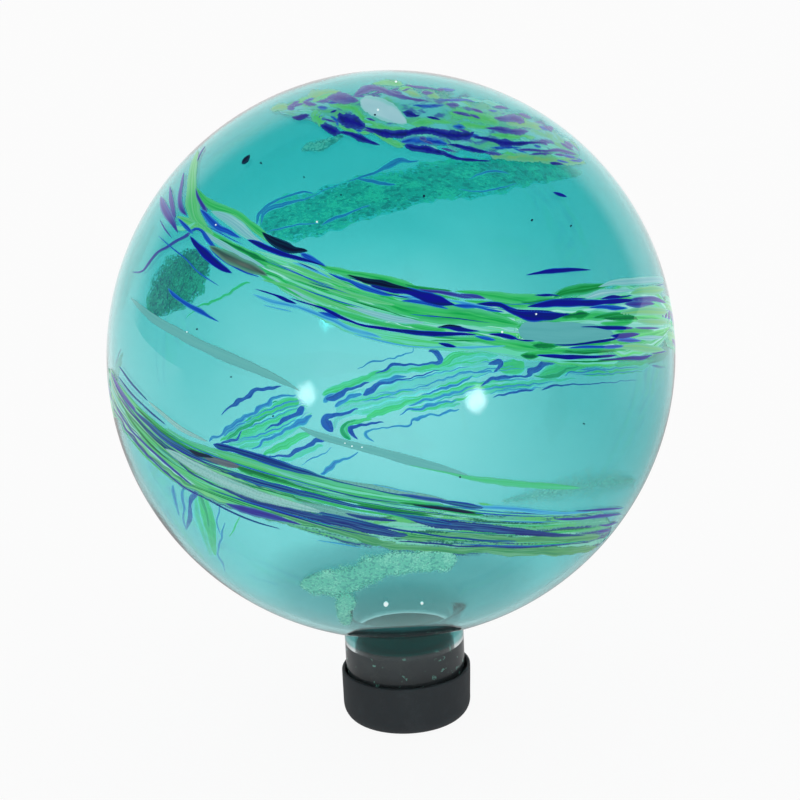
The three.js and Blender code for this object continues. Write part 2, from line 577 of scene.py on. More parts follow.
@dataclass(frozen=True)
class VeilGlass(MeltedGlass):
    """A thin veil of glass, crossed by hair-thin threads of other glasses that run along it."""

    veil: Colour
    threads: tuple[Thread, ...]
    _: KW_ONLY
    opacity: float = 0.5
    soft_edge: float = 0.5
    grain: float = 0.0

    def marks(self, board: Board, body: Wire) -> tuple[Wire, Wire, Wire | float]:
        """Draws the threads."""
        flat = board.node("ShaderNodeTexCoord", output="UV")
        dots = (board.noise(board.place(), self.grain_size, 1) - 0.5) * self.grain
        colour: Wire | Colour = self.veil
        clear: Wire | float = 1.0
        for number, thread in enumerate(self.threads):
            run = board.streaks(flat, thread.across, thread.length, number * 3 + 1)
            middle = noise_level(thread.share)
            shown = (run + dots).ease(middle - thread.soft, middle + thread.soft)
            colour = board.mix(shown, colour, thread.colour)
            clear = (1 - shown) * clear
        ragged = body + (board.streaks(flat, 6.0, 3.0, 20) - 0.5) * self.soft_edge * 1.6 + dots
        return colour, ragged.ease(0.0, self.soft_edge), 1 - clear * (1 - self.opacity)


@dataclass(frozen=True)
class GrainGlass(MeltedGlass):
    """A bed of fine glass grains, thick in places and thin in others."""

    bed: Colour
    grain: Colour
    dark: Colour
    _: KW_ONLY
    grain_size: float = 1.1 * MM
    cloud_size: float = 14 * MM
    light_from: float = 0.52
    light_to: float = 0.6
    dark_share: float = 0.8
    stretch: tuple[float, float, float] = (1.0, 1.0, 1.0)
    soft_edge: float = 0.35
    raggedness: float = 0.9
    # A painted glow, as for the other glasses: the grains glow in their own colour.
    glow: float = 0.1
    roughness: float = 0.2

    def marks(self, board: Board, body: Wire) -> tuple[Wire, Wire, Wire | float]:
        """Draws the grains."""
        place = board.node(
            "ShaderNodeMapping", {}, {"Vector": board.place(), "Scale": self.stretch}
        )
        fine = board.noise(place, self.grain_size, 2, 0.4)
        cloud = board.noise(place, self.cloud_size, 4, 0.8)
        light = (fine + (cloud - 0.5) * 0.8).ease(self.light_from, self.light_to)
        dim = (board.noise(place, self.grain_size * 1.7, 1) - (cloud - 0.5) * 0.4).ease(0.56, 0.66)
        colour = board.mix(light, self.bed, self.grain)
        colour = board.mix(dim * self.dark_share, colour, self.dark)
        ragged = body + (fine - 0.5) * self.raggedness + (cloud - 0.5) * 0.6
        start = 0.0 if self.far else 0.1
        return colour, ragged.ease(start, start + self.soft_edge), 1.0


@dataclass(frozen=True)
class MouldedRubber:
    """Matte moulded rubber with a fine grain, dusty where it is rubbed, with a few crumbs, and a
    top that may be painted teal as painted light.
    """

    name: str
    slot: str
    base: Colour
    dust: Colour
    crumb: Colour
    crumb_level: float = 0.75
    crumb_size: float = 3.2 * MM
    # The crown colour is painted light: teal laid on the top, above the two heights below, standing
    # in for the teal light that falls on it through the glass ball.
    crown: Colour | None = None
    teal_light_from: float = 38 * MM
    teal_light_to: float = 39.2 * MM
    roughness: float = 0.62
    grain: float = 0.9 * MM
    blotch: float = 9 * MM
    dust_share: float = 0.5
    grain_depth: float = 0.03 * MM

    def make(self) -> bpy.types.Material:
        """Builds the material."""
        material, board = new_material(self.name)
        place = board.place()
        blotch = board.noise(place, self.blotch, 4, 0.3)
        fine = board.noise(place, self.grain, 3)
        share = (blotch + (fine - 0.5) * 0.6).ease(0.45, 0.75) * self.dust_share
        colour = board.mix(share, self.base, self.dust)
        crumbs = board.noise(place, self.crumb_size, 4, 0.2) + (fine - 0.5) * 0.15
        level = self.crumb_level
        colour = board.mix(crumbs.ease(level - 0.03, level + 0.03), colour, self.crumb)
        # Painted light: the top turns teal, as if lit through the glass.
        if self.crown:
            height = board.node("ShaderNodeSeparateXYZ", {}, {"Vector": place}, "Z")
            top = (height + (blotch - 0.5) * MM).ease(self.teal_light_from, self.teal_light_to)
            colour = board.mix(top, colour, self.crown)
        board.surface(
            {
                "Base Color": colour,
                "Roughness": self.roughness + (fine - 0.5) * 0.2,
                "Normal": board.bump(fine, self.grain_depth),
            }
        )
        return material


# In the finishes below, glow is painted light: the glass glows in its own colour, standing in for
# light passing through it.
BRIGHT_GREEN = TrailGlass(
    "bright_green_glass", "green_glass", srgb(90, 208, 122), srgb(66, 198, 116),
    srgb(112, 212, 156), rim=srgb(96, 206, 150), rim_width=0.8,
    streaks_across=5.0, glow=0.22,
)
LEAF_GREEN = TrailGlass(
    "leaf_green_glass", "green_glass", srgb(52, 200, 106), srgb(18, 172, 84),
    srgb(74, 206, 122), rim=srgb(76, 204, 140), rim_width=0.8,
    streaks_across=5.0, glow=0.22,
)
DEEP_LEAF = TrailGlass(
    "deep_leaf_glass", "green_glass", srgb(12, 150, 70), srgb(6, 128, 60), srgb(40, 176, 100),
    rim=srgb(50, 186, 130), rim_width=0.6, streaks_across=5.0, glow=0.2,
)
DARK_GREEN = TrailGlass(
    "dark_green_glass", "green_glass", srgb(6, 128, 62), srgb(4, 92, 68), rim=srgb(40, 176, 100),
    rim_width=0.7, ragged=0.5, ragged_size=1.4 * MM,
)
OLIVE = TrailGlass(
    "olive_glass", "green_glass", srgb(112, 190, 122), srgb(88, 184, 145),
    rim=srgb(110, 196, 165), rim_width=0.7,
)
GRAINY_GREEN = TrailGlass(
    "grainy_green_glass", "green_glass", srgb(88, 176, 116), srgb(62, 156, 108),
    srgb(110, 190, 152), glow=0.22, ragged=0.7, ragged_size=0.9 * MM,
)
NAVY = TrailGlass(
    "navy_trail_glass", "navy_glass", srgb(8, 16, 140), srgb(2, 30, 105), rim=srgb(18, 88, 190),
    rim_width=0.4, streak_share=0.4, streaks_across=3.0,
)
GRAINY_NAVY = TrailGlass(
    "grainy_navy_glass", "navy_glass", srgb(14, 42, 124), srgb(30, 66, 142), srgb(50, 116, 166),
    glow=0.22, ragged=0.5, ragged_size=0.8 * MM,
)
PURPLE = TrailGlass(
    "purple_glass", "navy_glass", srgb(48, 44, 145), srgb(46, 74, 160), rim=srgb(70, 120, 175),
    rim_width=0.5,
)
BLUE = TrailGlass(
    "blue_trail_glass", "blue_glass", srgb(18, 88, 190), srgb(8, 52, 165), rim=srgb(50, 140, 205),
)
PALE_BLUE = TrailGlass(
    "pale_blue_glass", "blue_glass", srgb(46, 138, 206), srgb(78, 178, 212),
    rim=srgb(90, 195, 215), rim_width=0.8,
)
MILKY = TrailGlass(
    "milky_glass", "pale_glass", srgb(122, 188, 196), srgb(106, 180, 190), srgb(146, 204, 208),
    rim=srgb(104, 198, 190), rim_width=0.6, streaks_across=6.0,
    streak_length=3.5,
)
GREY_MINT = TrailGlass(
    "grey_mint_glass", "pale_glass", srgb(92, 173, 177), srgb(86, 168, 172),
    streak_length=4.0,
)
MINT = TrailGlass(
    "mint_trail_glass", "mint_glass", srgb(104, 212, 180), srgb(84, 205, 164),
    srgb(128, 214, 194),
)
BLACK = TrailGlass(
    "black_glass", "dark_glass", srgb(2, 12, 48), srgb(0, 42, 66), rim=srgb(4, 60, 90),
)
GREY = TrailGlass(
    "grey_glass", "dark_glass", srgb(48, 84, 80), srgb(84, 104, 98), streaks_across=2.0,
    rim=srgb(80, 150, 130), rim_width=0.9,
)
STREAKY_NAVY = replace(
    NAVY, name="streaky_navy_glass", core=srgb(6, 26, 120), streak=srgb(0, 70, 135),
    light=srgb(48, 140, 160), streaks_across=4.0, streak_length=5.0,
)
# The chips' glow is painted light.
CHIP = {
    "streak_length": 0.5, "streaks_across": 2.5, "soft_edge": 0.2, "ragged": 0.9,
    "ragged_size": 1.6 * MM, "rim_width": 0.9, "glow": 0.28,
}
CROWN_GREEN = replace(
    BRIGHT_GREEN, name="crown_green_glass", core=srgb(78, 194, 108), streak=srgb(64, 186, 108),
    light=srgb(90, 198, 140), rim=srgb(80, 196, 150), **CHIP,
)
CROWN_OLIVE = replace(
    OLIVE, name="crown_olive_glass", core=srgb(108, 184, 120), streak=srgb(86, 182, 130),
    rim=srgb(92, 188, 160), **CHIP,
)
CROWN_MINT = replace(
    MINT, name="crown_mint_glass", core=srgb(92, 204, 196), streak=srgb(82, 196, 170),
    light=srgb(116, 208, 206), rim=srgb(80, 196, 186), **CHIP,
)
CROWN_NAVY = replace(NAVY, name="crown_navy_glass", **{**CHIP, "rim": srgb(34, 70, 160)})
CROWN_PURPLE = replace(PURPLE, name="crown_purple_glass", **{**CHIP, "rim": srgb(78, 112, 170)})
CROWN_BLUE = replace(BLUE, name="crown_blue_glass", **{**CHIP, "rim": srgb(56, 146, 190)})
EGG = TrailGlass(
    "crown_egg_glass", "pale_glass", srgb(148, 198, 208), srgb(160, 208, 216),
    rim=srgb(126, 198, 198), streak_length=1.4, streaks_across=1.5, streak_soft=0.3,
    ragged=0.35,
)


def behind(
    name: str, slot: str, core: Colour, streak: Colour, light: Colour | None, soft: float
) -> TrailGlass:
    """Gives the finish of a trail that is seen through the ball.

    Args:
        name: Its name.
        slot: The slot that it is meant for, carried on the finish; nothing here uses it.
        core: Its own colour, before the front wall tints it.
        streak: The colour of its streaks.
        light: The colour of its lightest streaks.
        soft: How soft its border is.

    Returns:
        The finish, with the light that comes through it from behind painted in as a glow.
    """
    # The glow of 0.8 is painted backlight: the light that comes through the trail from behind.
    return TrailGlass(
        name, slot, core, streak, light, glow=0.8, far=True, soft_edge=soft, streaks_across=3
    )


GREEN_BEHIND = behind(
    "green_behind", "green_glass", srgb(114, 218, 132), srgb(92, 205, 125), srgb(142, 230, 172),
    0.22,
)
MINT_BEHIND = behind(
    "mint_behind", "mint_glass", srgb(140, 222, 184), srgb(165, 222, 210), srgb(122, 216, 160),
    0.3,
)
MILKY_BEHIND = behind(
    "milky_behind", "pale_glass", srgb(176, 220, 214), srgb(190, 216, 218), srgb(150, 222, 190),
    0.3,
)
DEEP_BEHIND = behind(
    "deep_green_behind", "green_glass", srgb(44, 168, 112), srgb(70, 195, 120), None, 0.2
)
NAVY_BEHIND = behind(
    "navy_behind", "navy_glass", srgb(38, 76, 178), srgb(36, 96, 192), None, 0.16
)
BLUE_BEHIND = behind(
    "blue_behind", "blue_glass", srgb(66, 124, 206), srgb(88, 165, 214), None, 0.3
)

# Painted shade and painted backlight: the mint grains of the lower front, coloured darker and more
# teal as they look against the light on the far wall, with a glow.
SHADED_GRAINS_BEHIND = GrainGlass(
    "speckled_grains", "dark_glass", srgb(44, 188, 172), srgb(96, 216, 184), srgb(10, 146, 146),
    edge=(0.2, 0.7, 0.71, 1.0), grain_size=1.3 * MM, cloud_size=11 * MM, far=True, glow=0.8,
    soft_edge=0.14, raggedness=1.5, stretch=(0.7, 1.0, 1.2),
)
MINT_GRAINS = GrainGlass(
    "mint_grains", "mint_glass", srgb(108, 212, 190), srgb(140, 230, 208), srgb(78, 172, 165),
    grain_size=0.8 * MM, dark_share=0.7, glow=0.15,
)
BOOT_RUBBER = MouldedRubber(
    "boot_rubber", "black_rubber", srgb(52, 58, 63), srgb(68, 75, 79), srgb(88, 96, 98),
    crumb_level=0.8, crumb_size=1.6 * MM,
)
# The bung's crown colour is painted light: the teal light that reaches its top through the ball.
PLUG_RUBBER = MouldedRubber(
    "plug_rubber", "black_rubber", srgb(76, 80, 84), srgb(98, 104, 106), srgb(140, 205, 190),
    crumb_level=0.66, crumb_size=3.4 * MM, dust_share=0.4, crown=srgb(14, 128, 122),
)


def points(text: str) -> tuple[Point, ...]:
    """Reads places that are written as numbers, with a comma after each place."""
    return tuple(tuple(float(number) for number in spot.split()) for spot in text.split(","))


@dataclass(frozen=True)
class Stroke:
    """One mark of coloured glass: points of x, y and width, in the photograph's pixels."""

    points: tuple[Point, ...]

    def curve(self, spacing: float) -> list[Vector]:
        """Runs a smooth line through the points.

        Args:
            spacing: The distance between two places on the line, in pixels.

        Returns:
            Places on the line as x, y and width, evenly spaced.
        """
        knots = [Vector(point) for point in self.points]
        knots = [2 * knots[0] - knots[1], *knots, 2 * knots[-1] - knots[-2]]
        dense = []
        for a, b, c, d in zip(knots, knots[1:], knots[2:], knots[3:]):
            for part in range(CURVE_PARTS):
                t = part / CURVE_PARTS
                dense.append(
                    0.5
                    * (
                        2 * b
                        + (c - a) * t
                        + (2 * a - 5 * b + 4 * c - d) * t * t
                        + (3 * b - a - 3 * c + d) * t**3
                    )
                )
        dense.append(knots[-2])
        gone = [0.0]
        for near, far in zip(dense, dense[1:]):
            gone.append(gone[-1] + (far.xy - near.xy).length)
        count = max(FEWEST_PLACES, round(gone[-1] / spacing))
        line = []
        place = 0
        for step in range(count + 1):
            wanted = gone[-1] * step / count
            while place < len(gone) - 2 and gone[place + 1] < wanted:
                place += 1
            gap = max(gone[place + 1] - gone[place], 1e-9)
            line.append(dense[place].lerp(dense[place + 1], (wanted - gone[place]) / gap))
        return line


def strokes(text: str) -> tuple[Stroke, ...]:
    """Reads marks from a text, one from each line. A line that ends in a comma runs on.

    Args:
        text: Places of x, y and width, or for a hair, which has one width and thins out towards
            both ends, its width with a colon and then places of x and y.

    Returns:
        The marks.
    """
    made = []
    for mark in text.strip().replace(",\n", ",").splitlines():
        width, colon, spots = mark.rpartition(":")
        places = points(spots)
        if colon:
            ends = {0: HAIR_END, len(places) - 1: HAIR_END}
            full = float(width)
            places = tuple((*spot, full * ends.get(i, 1.0)) for i, spot in enumerate(places))
        made.append(Stroke(places))
    return tuple(made)


def seeds(text: str) -> tuple[Stroke, ...]:
    """Makes a round spot, a seed in the glass, at each place of x, y and width."""
    return tuple(
        Stroke(tuple((x + width * at, y, width * share) for at, share in SEED_SHAPE))
        for x, y, width in points(text)
    )


def threads(
    beds: tuple[Stroke, ...],
    count: int,
    length: tuple[float, float],
    width: tuple[float, float],
    seed: int,
) -> tuple[Stroke, ...]:
    """Lays fine marks side by side along the run of some wider marks.

    Args:
        beds: The marks to follow.
        count: How many to lay along each.
        length: The shortest and the longest, in pixels.
        width: The thinnest and the thickest, in pixels.
        seed: The seed of their places.

    Returns:
        The fine marks.
    """
    chance = random.Random(seed)
    made = []
    for bed in beds:
        line = bed.curve(BED_STEP)
        for _ in range(count):
            steps = min(max(4, round(chance.uniform(*length) / BED_STEP)), len(line) - 1)
            start = chance.randrange(len(line) - steps)
            across = chance.uniform(-0.5, 0.5)
            drift = chance.uniform(-THREAD_DRIFT, THREAD_DRIFT)
            thick = chance.uniform(*width)
            knots = max(3, min(9, steps // 4))
            spots = []
            for knot in range(knots + 1):
                at = start + round(steps * knot / knots)
                here = line[at]
                ahead = (line[min(at + 2, len(line) - 1)] - line[max(at - 2, 0)]).xy.normalized()
                off = (across + drift * knot / knots) * here.z
                swell = math.sin(math.pi * (THREAD_END + (1 - 2 * THREAD_END) * knot / knots))
                spots.append((here.x - ahead.y * off, here.y + ahead.x * off, thick * swell))
            made.append(Stroke(tuple(spots)))
    return tuple(made)


@dataclass
class Swirl:
    """A group of strokes of one glass, laid on the ball as thin solids let into its skin."""

    name: str
    finish: MeltedGlass
    strokes: tuple[Stroke, ...]
    stands_for: tuple[str, ...] = ()
    side: Side = Side.FRONT
    proud: float = 0.03 * MM
    step_up: float = 0.0008 * MM
    thickness: float = 0.2 * MM
    spacing: float = 3.0
    wobble: float = 0.35
    wobble_length: float = 18.0
    uneven: float = 0.1
    comb: float = 0.0
    longest_cap: float = 10.0
    fade: float = 6.0
    widen: float = 1.0
    lane: float = 2.5
    most_lanes: int = 20
    comb_length: float = 6.5
    swell_length: float = 11.0
    thinnest: float = 0.2
    shortest_cap: float = 0.8
    apart: float = 7.31
    seed_steps: tuple[float, float, float] = (0.37, 0.53, 3.1)
    comb_run: tuple[float, float] = (0.93, -0.37)

    def strip(self, number: int, stroke: Stroke) -> bpy.types.Object:
        """Lays one stroke on the ball as a strip of faces.

        Args:
            number: The stroke's place in the group, which sets how high it lies.
            stroke: The stroke.

        Returns:
            The strip.
        """
        line = stroke.curve(self.spacing)
        for place in line:
            place.z *= self.widen
        widest = max(place.z for place in line)
        lanes = max(2, min(self.most_lanes, round(widest / self.lane)))
        lanes += lanes % 2
        rows = len(line) - 1
        bpy.ops.mesh.primitive_grid_add(
            x_subdivisions=lanes, y_subdivisions=rows, size=1, calc_uvs=True
        )
        strip = bpy.context.object
        gone = [0.0]
        for near, far in zip(line, line[1:]):
            gone.append(gone[-1] + (far.xy - near.xy).length)
        first = stroke.points[0]
        seed = Vector([a * b for a, b in zip((*first[:2], number), self.seed_steps)])
        frames = []
        for index, place in enumerate(line):
            ahead = (line[min(index + 1, rows)].xy - line[max(index - 1, 0)].xy).normalized()
            aside = Vector((-ahead.y, ahead.x))
            run = gone[index]
            sway = noise.noise(seed + Vector((run / self.wobble_length, 0, 0))) * self.wobble
            along = place.x * self.comb_run[0] + place.y * self.comb_run[1]
            sway += noise.noise(Vector((along / self.comb_length, 0.3, 1.7))) * self.comb * 2
            end = min(run, gone[-1] - run)
            blunt = min(max(place.z / 2, self.shortest_cap), self.longest_cap)
            cap = math.sqrt(max(1 - (1 - min(end / blunt, 1)) ** 2, 0.0))
            swell = noise.noise(seed + Vector((run / self.swell_length, 0, 7))) * self.uneven * 2
            width = max(place.z * (1 + swell) * cap, self.thinnest)
            strength = outline(end, -0.15 * self.fade, min(self.fade, gone[-1] / 3))
            frames.append((place.xy + aside * sway, aside, width, strength))
        radius = BALL_RADIUS + self.proud + self.step_up * number
        body = strip.data.attributes.new("body", "FLOAT", "POINT")
        for vertex, share in zip(strip.data.vertices, body.data):
            middle, aside, width, strength = frames[round((vertex.co.y + 0.5) * rows)]
            spot = middle + aside * vertex.co.x * width
            share.value = (1 - abs(vertex.co.x) * 2) * strength
            vertex.co = BALL_CENTRE + CAMERA.on_ball(spot.x, spot.y, self.side) * radius
        scale = BALL_RADIUS / (DEGREES_ROUND if self.side is Side.ROUND else CAMERA.ball_pixels)
        for loop in strip.data.uv_layers.active.data:
            loop.uv.y = loop.uv.y * gone[-1] * scale / (10 * MM) + number * self.apart
        strip.data.update()
        middle_face = strip.data.polygons[len(strip.data.polygons) // 2]
        if middle_face.normal.dot(middle_face.center - BALL_CENTRE) < 0:
            strip.data.flip_normals()
        return strip

    def build(self) -> bpy.types.Object:
        """Builds the piece.

        Returns:
            The piece, riding on the globe.
        """
        strips = [self.strip(number, stroke) for number, stroke in enumerate(self.strokes)]
        piece = select_only(strips)
        if len(strips) > 1:
            bpy.ops.object.join()
        piece.name = self.name
        wall = piece.modifiers.new("wall", "SOLIDIFY")
        wall.thickness = self.thickness + 2 * self.proud
        wall.offset = -1
        bpy.ops.object.modifier_apply(modifier=wall.name)
        bpy.ops.object.shade_smooth_by_angle(angle=math.radians(50))
        piece.data.materials.append(finished(self.finish))
        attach(piece, "globe")
        if self.stands_for:
            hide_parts(*self.stands_for)
        return piece


@cache
def finished(finish: MeltedGlass) -> bpy.types.Material:
    """Gives a finish's material, made the first time that it is asked for.

    Args:
        finish: The finish.

    Returns:
        The material.
    """
    return finish.make()


@dataclass
class Grains:
    """Loose glass grains, melted onto the ball inside the bed of a stroke."""

    name: str
    finish: MeltedGlass
    beds: tuple[Stroke, ...]
    count: int
    side: Side = Side.FRONT
    smallest: float = 0.25 * MM
    largest: float = 0.75 * MM
    spread: float = 1.15
    flatness: float = 0.6
    lift: float = 0.0
    seed: int = 1

    def build(self) -> bpy.types.Object:
        """Builds the grains as one piece.

        Returns:
            The piece, riding on the globe.
        """
        chance = random.Random(self.seed)
        lines = [bed.curve(BED_STEP) for bed in self.beds]
        places = [place_pair for line in lines for place_pair in zip(line, line[1:])]
        weights = [near.z for near, _ in places]
        mesh = bmesh.new()
        for near, far in chance.choices(places, weights, k=self.count):
            ahead = (far.xy - near.xy).normalized()
            aside = Vector((-ahead.y, ahead.x))
            off = (chance.random() + chance.random() - 1) * near.z * self.spread / 2
            spot = near.xy.lerp(far.xy, chance.random()) + aside * off
            out = CAMERA.on_ball(spot.x, spot.y, self.side)
            size = self.smallest + (self.largest - self.smallest) * chance.random() ** 2
            turn = out.to_track_quat("Z", "Y").to_matrix().to_4x4()
            wide = size * (self.flatness + self.flatness * chance.random())
            shape = Matrix.Diagonal((size, wide, size * self.flatness, 1))
            spin = Matrix.Rotation(chance.random() * math.pi, 4, "Z")
            where = Matrix.Translation(BALL_CENTRE + out * (BALL_RADIUS + self.lift))
            bmesh.ops.create_icosphere(
                mesh, subdivisions=1, radius=0.5, matrix=where @ turn @ spin @ shape
            )
        data = bpy.data.meshes.new(self.name)
        mesh.to_mesh(data)
        mesh.free()
        piece = bpy.data.objects.new(self.name, data)
        bpy.context.collection.objects.link(piece)
        select_only([piece])
        bpy.ops.object.shade_smooth()
        data.materials.append(finished(self.finish))
        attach(piece, "globe")
        return piece


def lathe(name: str, profile: list[tuple[float, float]], segments: int) -> bpy.types.Object:
    """Turns an open profile about the upright axis into a closed, smooth shape.

    Args:
        name: The piece's name.
        profile: Places of radius and height, from one end on the axis to the other.
        segments: How many flats go round.

    Returns:
        The piece.
    """
    deselect()
    bpy.ops.mesh.primitive_circle_add(vertices=len(profile), radius=1, fill_type="NOTHING")
    piece = bpy.context.object
    piece.name = name
    for vertex, (radius, height) in zip(piece.data.vertices, profile):
        vertex.co = (radius, 0, height)
    bpy.ops.object.mode_set(mode="EDIT")
    bpy.ops.mesh.select_mode(type="EDGE")
    bpy.ops.mesh.select_all(action="DESELECT")
    bpy.ops.object.mode_set(mode="OBJECT")
    last = len(profile) - 1
    for edge in piece.data.edges:
        edge.select = set(edge.vertices) == {0, last}
    bpy.ops.object.mode_set(mode="EDIT")
    bpy.ops.mesh.delete(type="EDGE")
    bpy.ops.mesh.select_all(action="SELECT")
    bpy.ops.mesh.spin(steps=segments, angle=math.tau, center=(0, 0, 0), axis=(0, 0, 1))
    bpy.ops.mesh.select_all(action="SELECT")
    bpy.ops.mesh.remove_doubles(threshold=1e-6)
    bpy.ops.mesh.normals_make_consistent(inside=False)
    bpy.ops.object.mode_set(mode="OBJECT")
    bpy.ops.object.shade_smooth()
    return piece


def arc(
    centre: tuple[float, float], radius: float, start: float, end: float, steps: int
) -> list[tuple[float, float]]:
    """Gives places on an arc of a profile.

    Args:
        centre: The arc's centre, as radius and height.
        radius: The arc's own radius.
        start: The angle it starts at, in degrees.
        end: The angle it ends at, in degrees.
        steps: How many flats it has.

    Returns:
        The places, both ends with them.
    """
    places = []
    for step in range(steps + 1):
        angle = math.radians(start + (end - start) * step / steps)
        places.append(
            (centre[0] + radius * math.cos(angle), centre[1] + radius * math.sin(angle))
        )
    return places


@dataclass
class Globe:
    """The blown ball and its neck, one wall of glass that is open at the neck's end."""

    wall: float = 2.5 * MM
    neck_radius: float = 27.5 * MM
    neck_wall: float = 4.5 * MM
    neck_end: float = 6.3 * MM
    fillet: float = 5 * MM
    lip_round: float = 2.0 * MM
    segments: int = 240
    rows: int = 150
    bend_steps: int = 10
    lip_steps: int = 6
    unevenness: float = 0.12 * MM
    ripples: float = 22.0
    finish: BallGlass = BallGlass()

    def skin(self, ball: float, neck: float, fillet: float) -> list[tuple[float, float]]:
        """Gives the profile of a ball that runs into a neck, from the pole down.

        Args:
            ball: The ball's radius.
            neck: The neck's radius.
            fillet: The radius of the fillet between them.

        Returns:
            The profile, down to the start of the straight neck.
        """
        across = neck + fillet
        drop = math.sqrt((ball + fillet) ** 2 - across**2)
        meeting = -math.degrees(math.atan2(drop, across))
        round_part = arc((0, BALL_CENTRE.z), ball, 90, meeting, self.rows)
        bend = arc((across, BALL_CENTRE.z - drop), fillet, 180 + meeting, 180,
                   self.bend_steps)
        return [(0.0, BALL_CENTRE.z + ball), *round_part[1:], *bend[1:]]

    def build(self) -> bpy.types.Object:
        """Builds the globe in place of its plain node."""
        bore = self.neck_radius - self.neck_wall
        outside = self.skin(BALL_RADIUS, self.neck_radius, self.fillet)
        inside = self.skin(BALL_RADIUS - self.wall, bore, self.fillet + self.neck_wall)
        inside.reverse()
        round_height = self.neck_end + self.lip_round
        lip = [
            *arc((self.neck_radius - self.lip_round, round_height), self.lip_round, 0, -90,
                 self.lip_steps),
            *arc((bore + self.lip_round, round_height), self.lip_round, -90, -180,
                 self.lip_steps),
        ]
        piece = lathe("clear_globe", [*outside, *lip, *inside], self.segments)
        hollow = BALL_RADIUS - self.wall / 2
        for vertex in piece.data.vertices:
            out = vertex.co - BALL_CENTRE
            if out.length < hollow and out.z > -hollow * 0.9:
                vertex.co += out.normalized() * noise.noise(out * self.ripples) * self.unevenness
        piece.data.materials.append(self.finish.make())
        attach(piece, "globe")
        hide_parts("glass_globe")
        return piece


@dataclass
class Plug:
    """The rubber bung that closes the neck from below."""

    radius: float = 23.04 * MM
    taper: float = 0.02 * MM
    bottom: float = 6.3 * MM
    top: float = 40.7 * MM
    edge: float = 4.5 * MM
    dish: float = 1.0 * MM
    segments: int = 128
    finish: MouldedRubber = PLUG_RUBBER

    def build(self) -> bpy.types.Object:
        """Builds the plug in place of its plain node."""
        top_radius = self.radius - self.taper
        crown = arc((top_radius - self.edge, self.top - self.edge), self.edge, 90, 0, 8)
        foot = arc((self.radius - MM, self.bottom + MM), MM, 0, -90, 4)
        middle = (top_radius * 0.5, self.top - self.dish * 0.75)
        profile = [(0.0, self.top - self.dish), middle, *crown, *foot, (0.0, self.bottom)]
        piece = lathe("bung", profile, self.segments)
        piece.data.materials.append(self.finish.make())
        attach(piece, "plug")
        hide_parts("neck_plug")
        return piece


@dataclass
class Boot:
    """The rubber boot pulled over the neck's end, a little uneven and loose at its rim."""

    inside: float = 27.8 * MM
    wall: float = 1.6 * MM
    height: float = 24.7 * MM
    floor: float = 6 * MM
    foot_round: float = 7.5 * MM
    rim_round: float = 0.7 * MM
    wall_rows: int = 16
    segments: int = 160
    sway: float = 0.35 * MM
    rim_sway: float = 0.5 * MM
    flare: float = 0.7 * MM
    flare_towards: float = math.radians(-50)
    wave_from: float = 4 * MM
    wave_to: float = 10 * MM
    finish: MouldedRubber = BOOT_RUBBER

    def build(self) -> bpy.types.Object:
        """Builds the boot in place of its plain node."""
        outside = self.inside + self.wall
        foot = arc((outside - self.foot_round, self.foot_round), self.foot_round, -90, 0, 12)
        rim_base = self.height - self.rim_round
        rise = [
            (outside, self.foot_round + (rim_base - self.foot_round) * row / self.wall_rows)
            for row in range(1, self.wall_rows)
        ]
        rim = arc((outside - self.rim_round, rim_base), self.rim_round, 0, 90, 4)
        rim += arc((self.inside + self.rim_round, rim_base), self.rim_round, 90, 180, 4)
        fall = [
            (self.inside, rim_base + (self.floor - rim_base) * row / self.wall_rows)
            for row in range(1, self.wall_rows)
        ]
        profile = [(0.0, 0.0), *foot, *rise, *rim, *fall, (self.inside, self.floor)]
        piece = lathe("boot", [*profile, (0.0, self.floor)], self.segments)
        for vertex in piece.data.vertices:
            self.loosen(vertex)
        piece.data.materials.append(self.finish.make())
        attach(piece, "boot")
        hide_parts("rubber_boot")
        return piece

    def loosen(self, vertex: bpy.types.MeshVertex) -> None:
        """Moves one place of the wall, so that the boot isn't a perfect cup.

        Args:
            vertex: The place.
        """
        reach = Vector((vertex.co.x, vertex.co.y, 0))
        if reach.length < self.inside * 0.9:
            return
        out = reach.normalized()
        turn = math.atan2(out.y, out.x)
        high = outline(vertex.co.z, self.foot_round, self.height)
        wave = noise.noise(Vector((out.x * 1.7, out.y * 1.7, vertex.co.z * 60)))
        lean = (1 + math.cos(turn - self.flare_towards)) / 2 * self.flare * high
        middle = outline(vertex.co.z, self.wave_from, self.wave_to)
        vertex.co += out * (lean + (wave * 0.5 + 0.2) * self.sway * middle)
        vertex.co.z += noise.noise(Vector((out.x * 2.2, out.y * 2.2, 3))) * self.rim_sway * high


def ray_kinds(board: Board) -> tuple[Wire, Wire, Wire]:
    """Tells rays apart: those of the camera, those through glass and those that it mirrors.

    Args:
        board: The board of a material or of the world.

    Returns:
        The three kinds, each 1 for a ray of that kind.
    """
    seen, through, glossy = (
        board.node("ShaderNodeLightPath", output=f"Is {kind} Ray")
        for kind in ("Camera", "Transmission", "Glossy")
    )
    return seen, through, glossy * (1 - through)


@dataclass(frozen=True)
class Glint:
    """A highlight on the glass: its place in the photograph and the lamp that makes it."""

    x: float
    y: float
    wide: float
    tall: float
    radiance: float


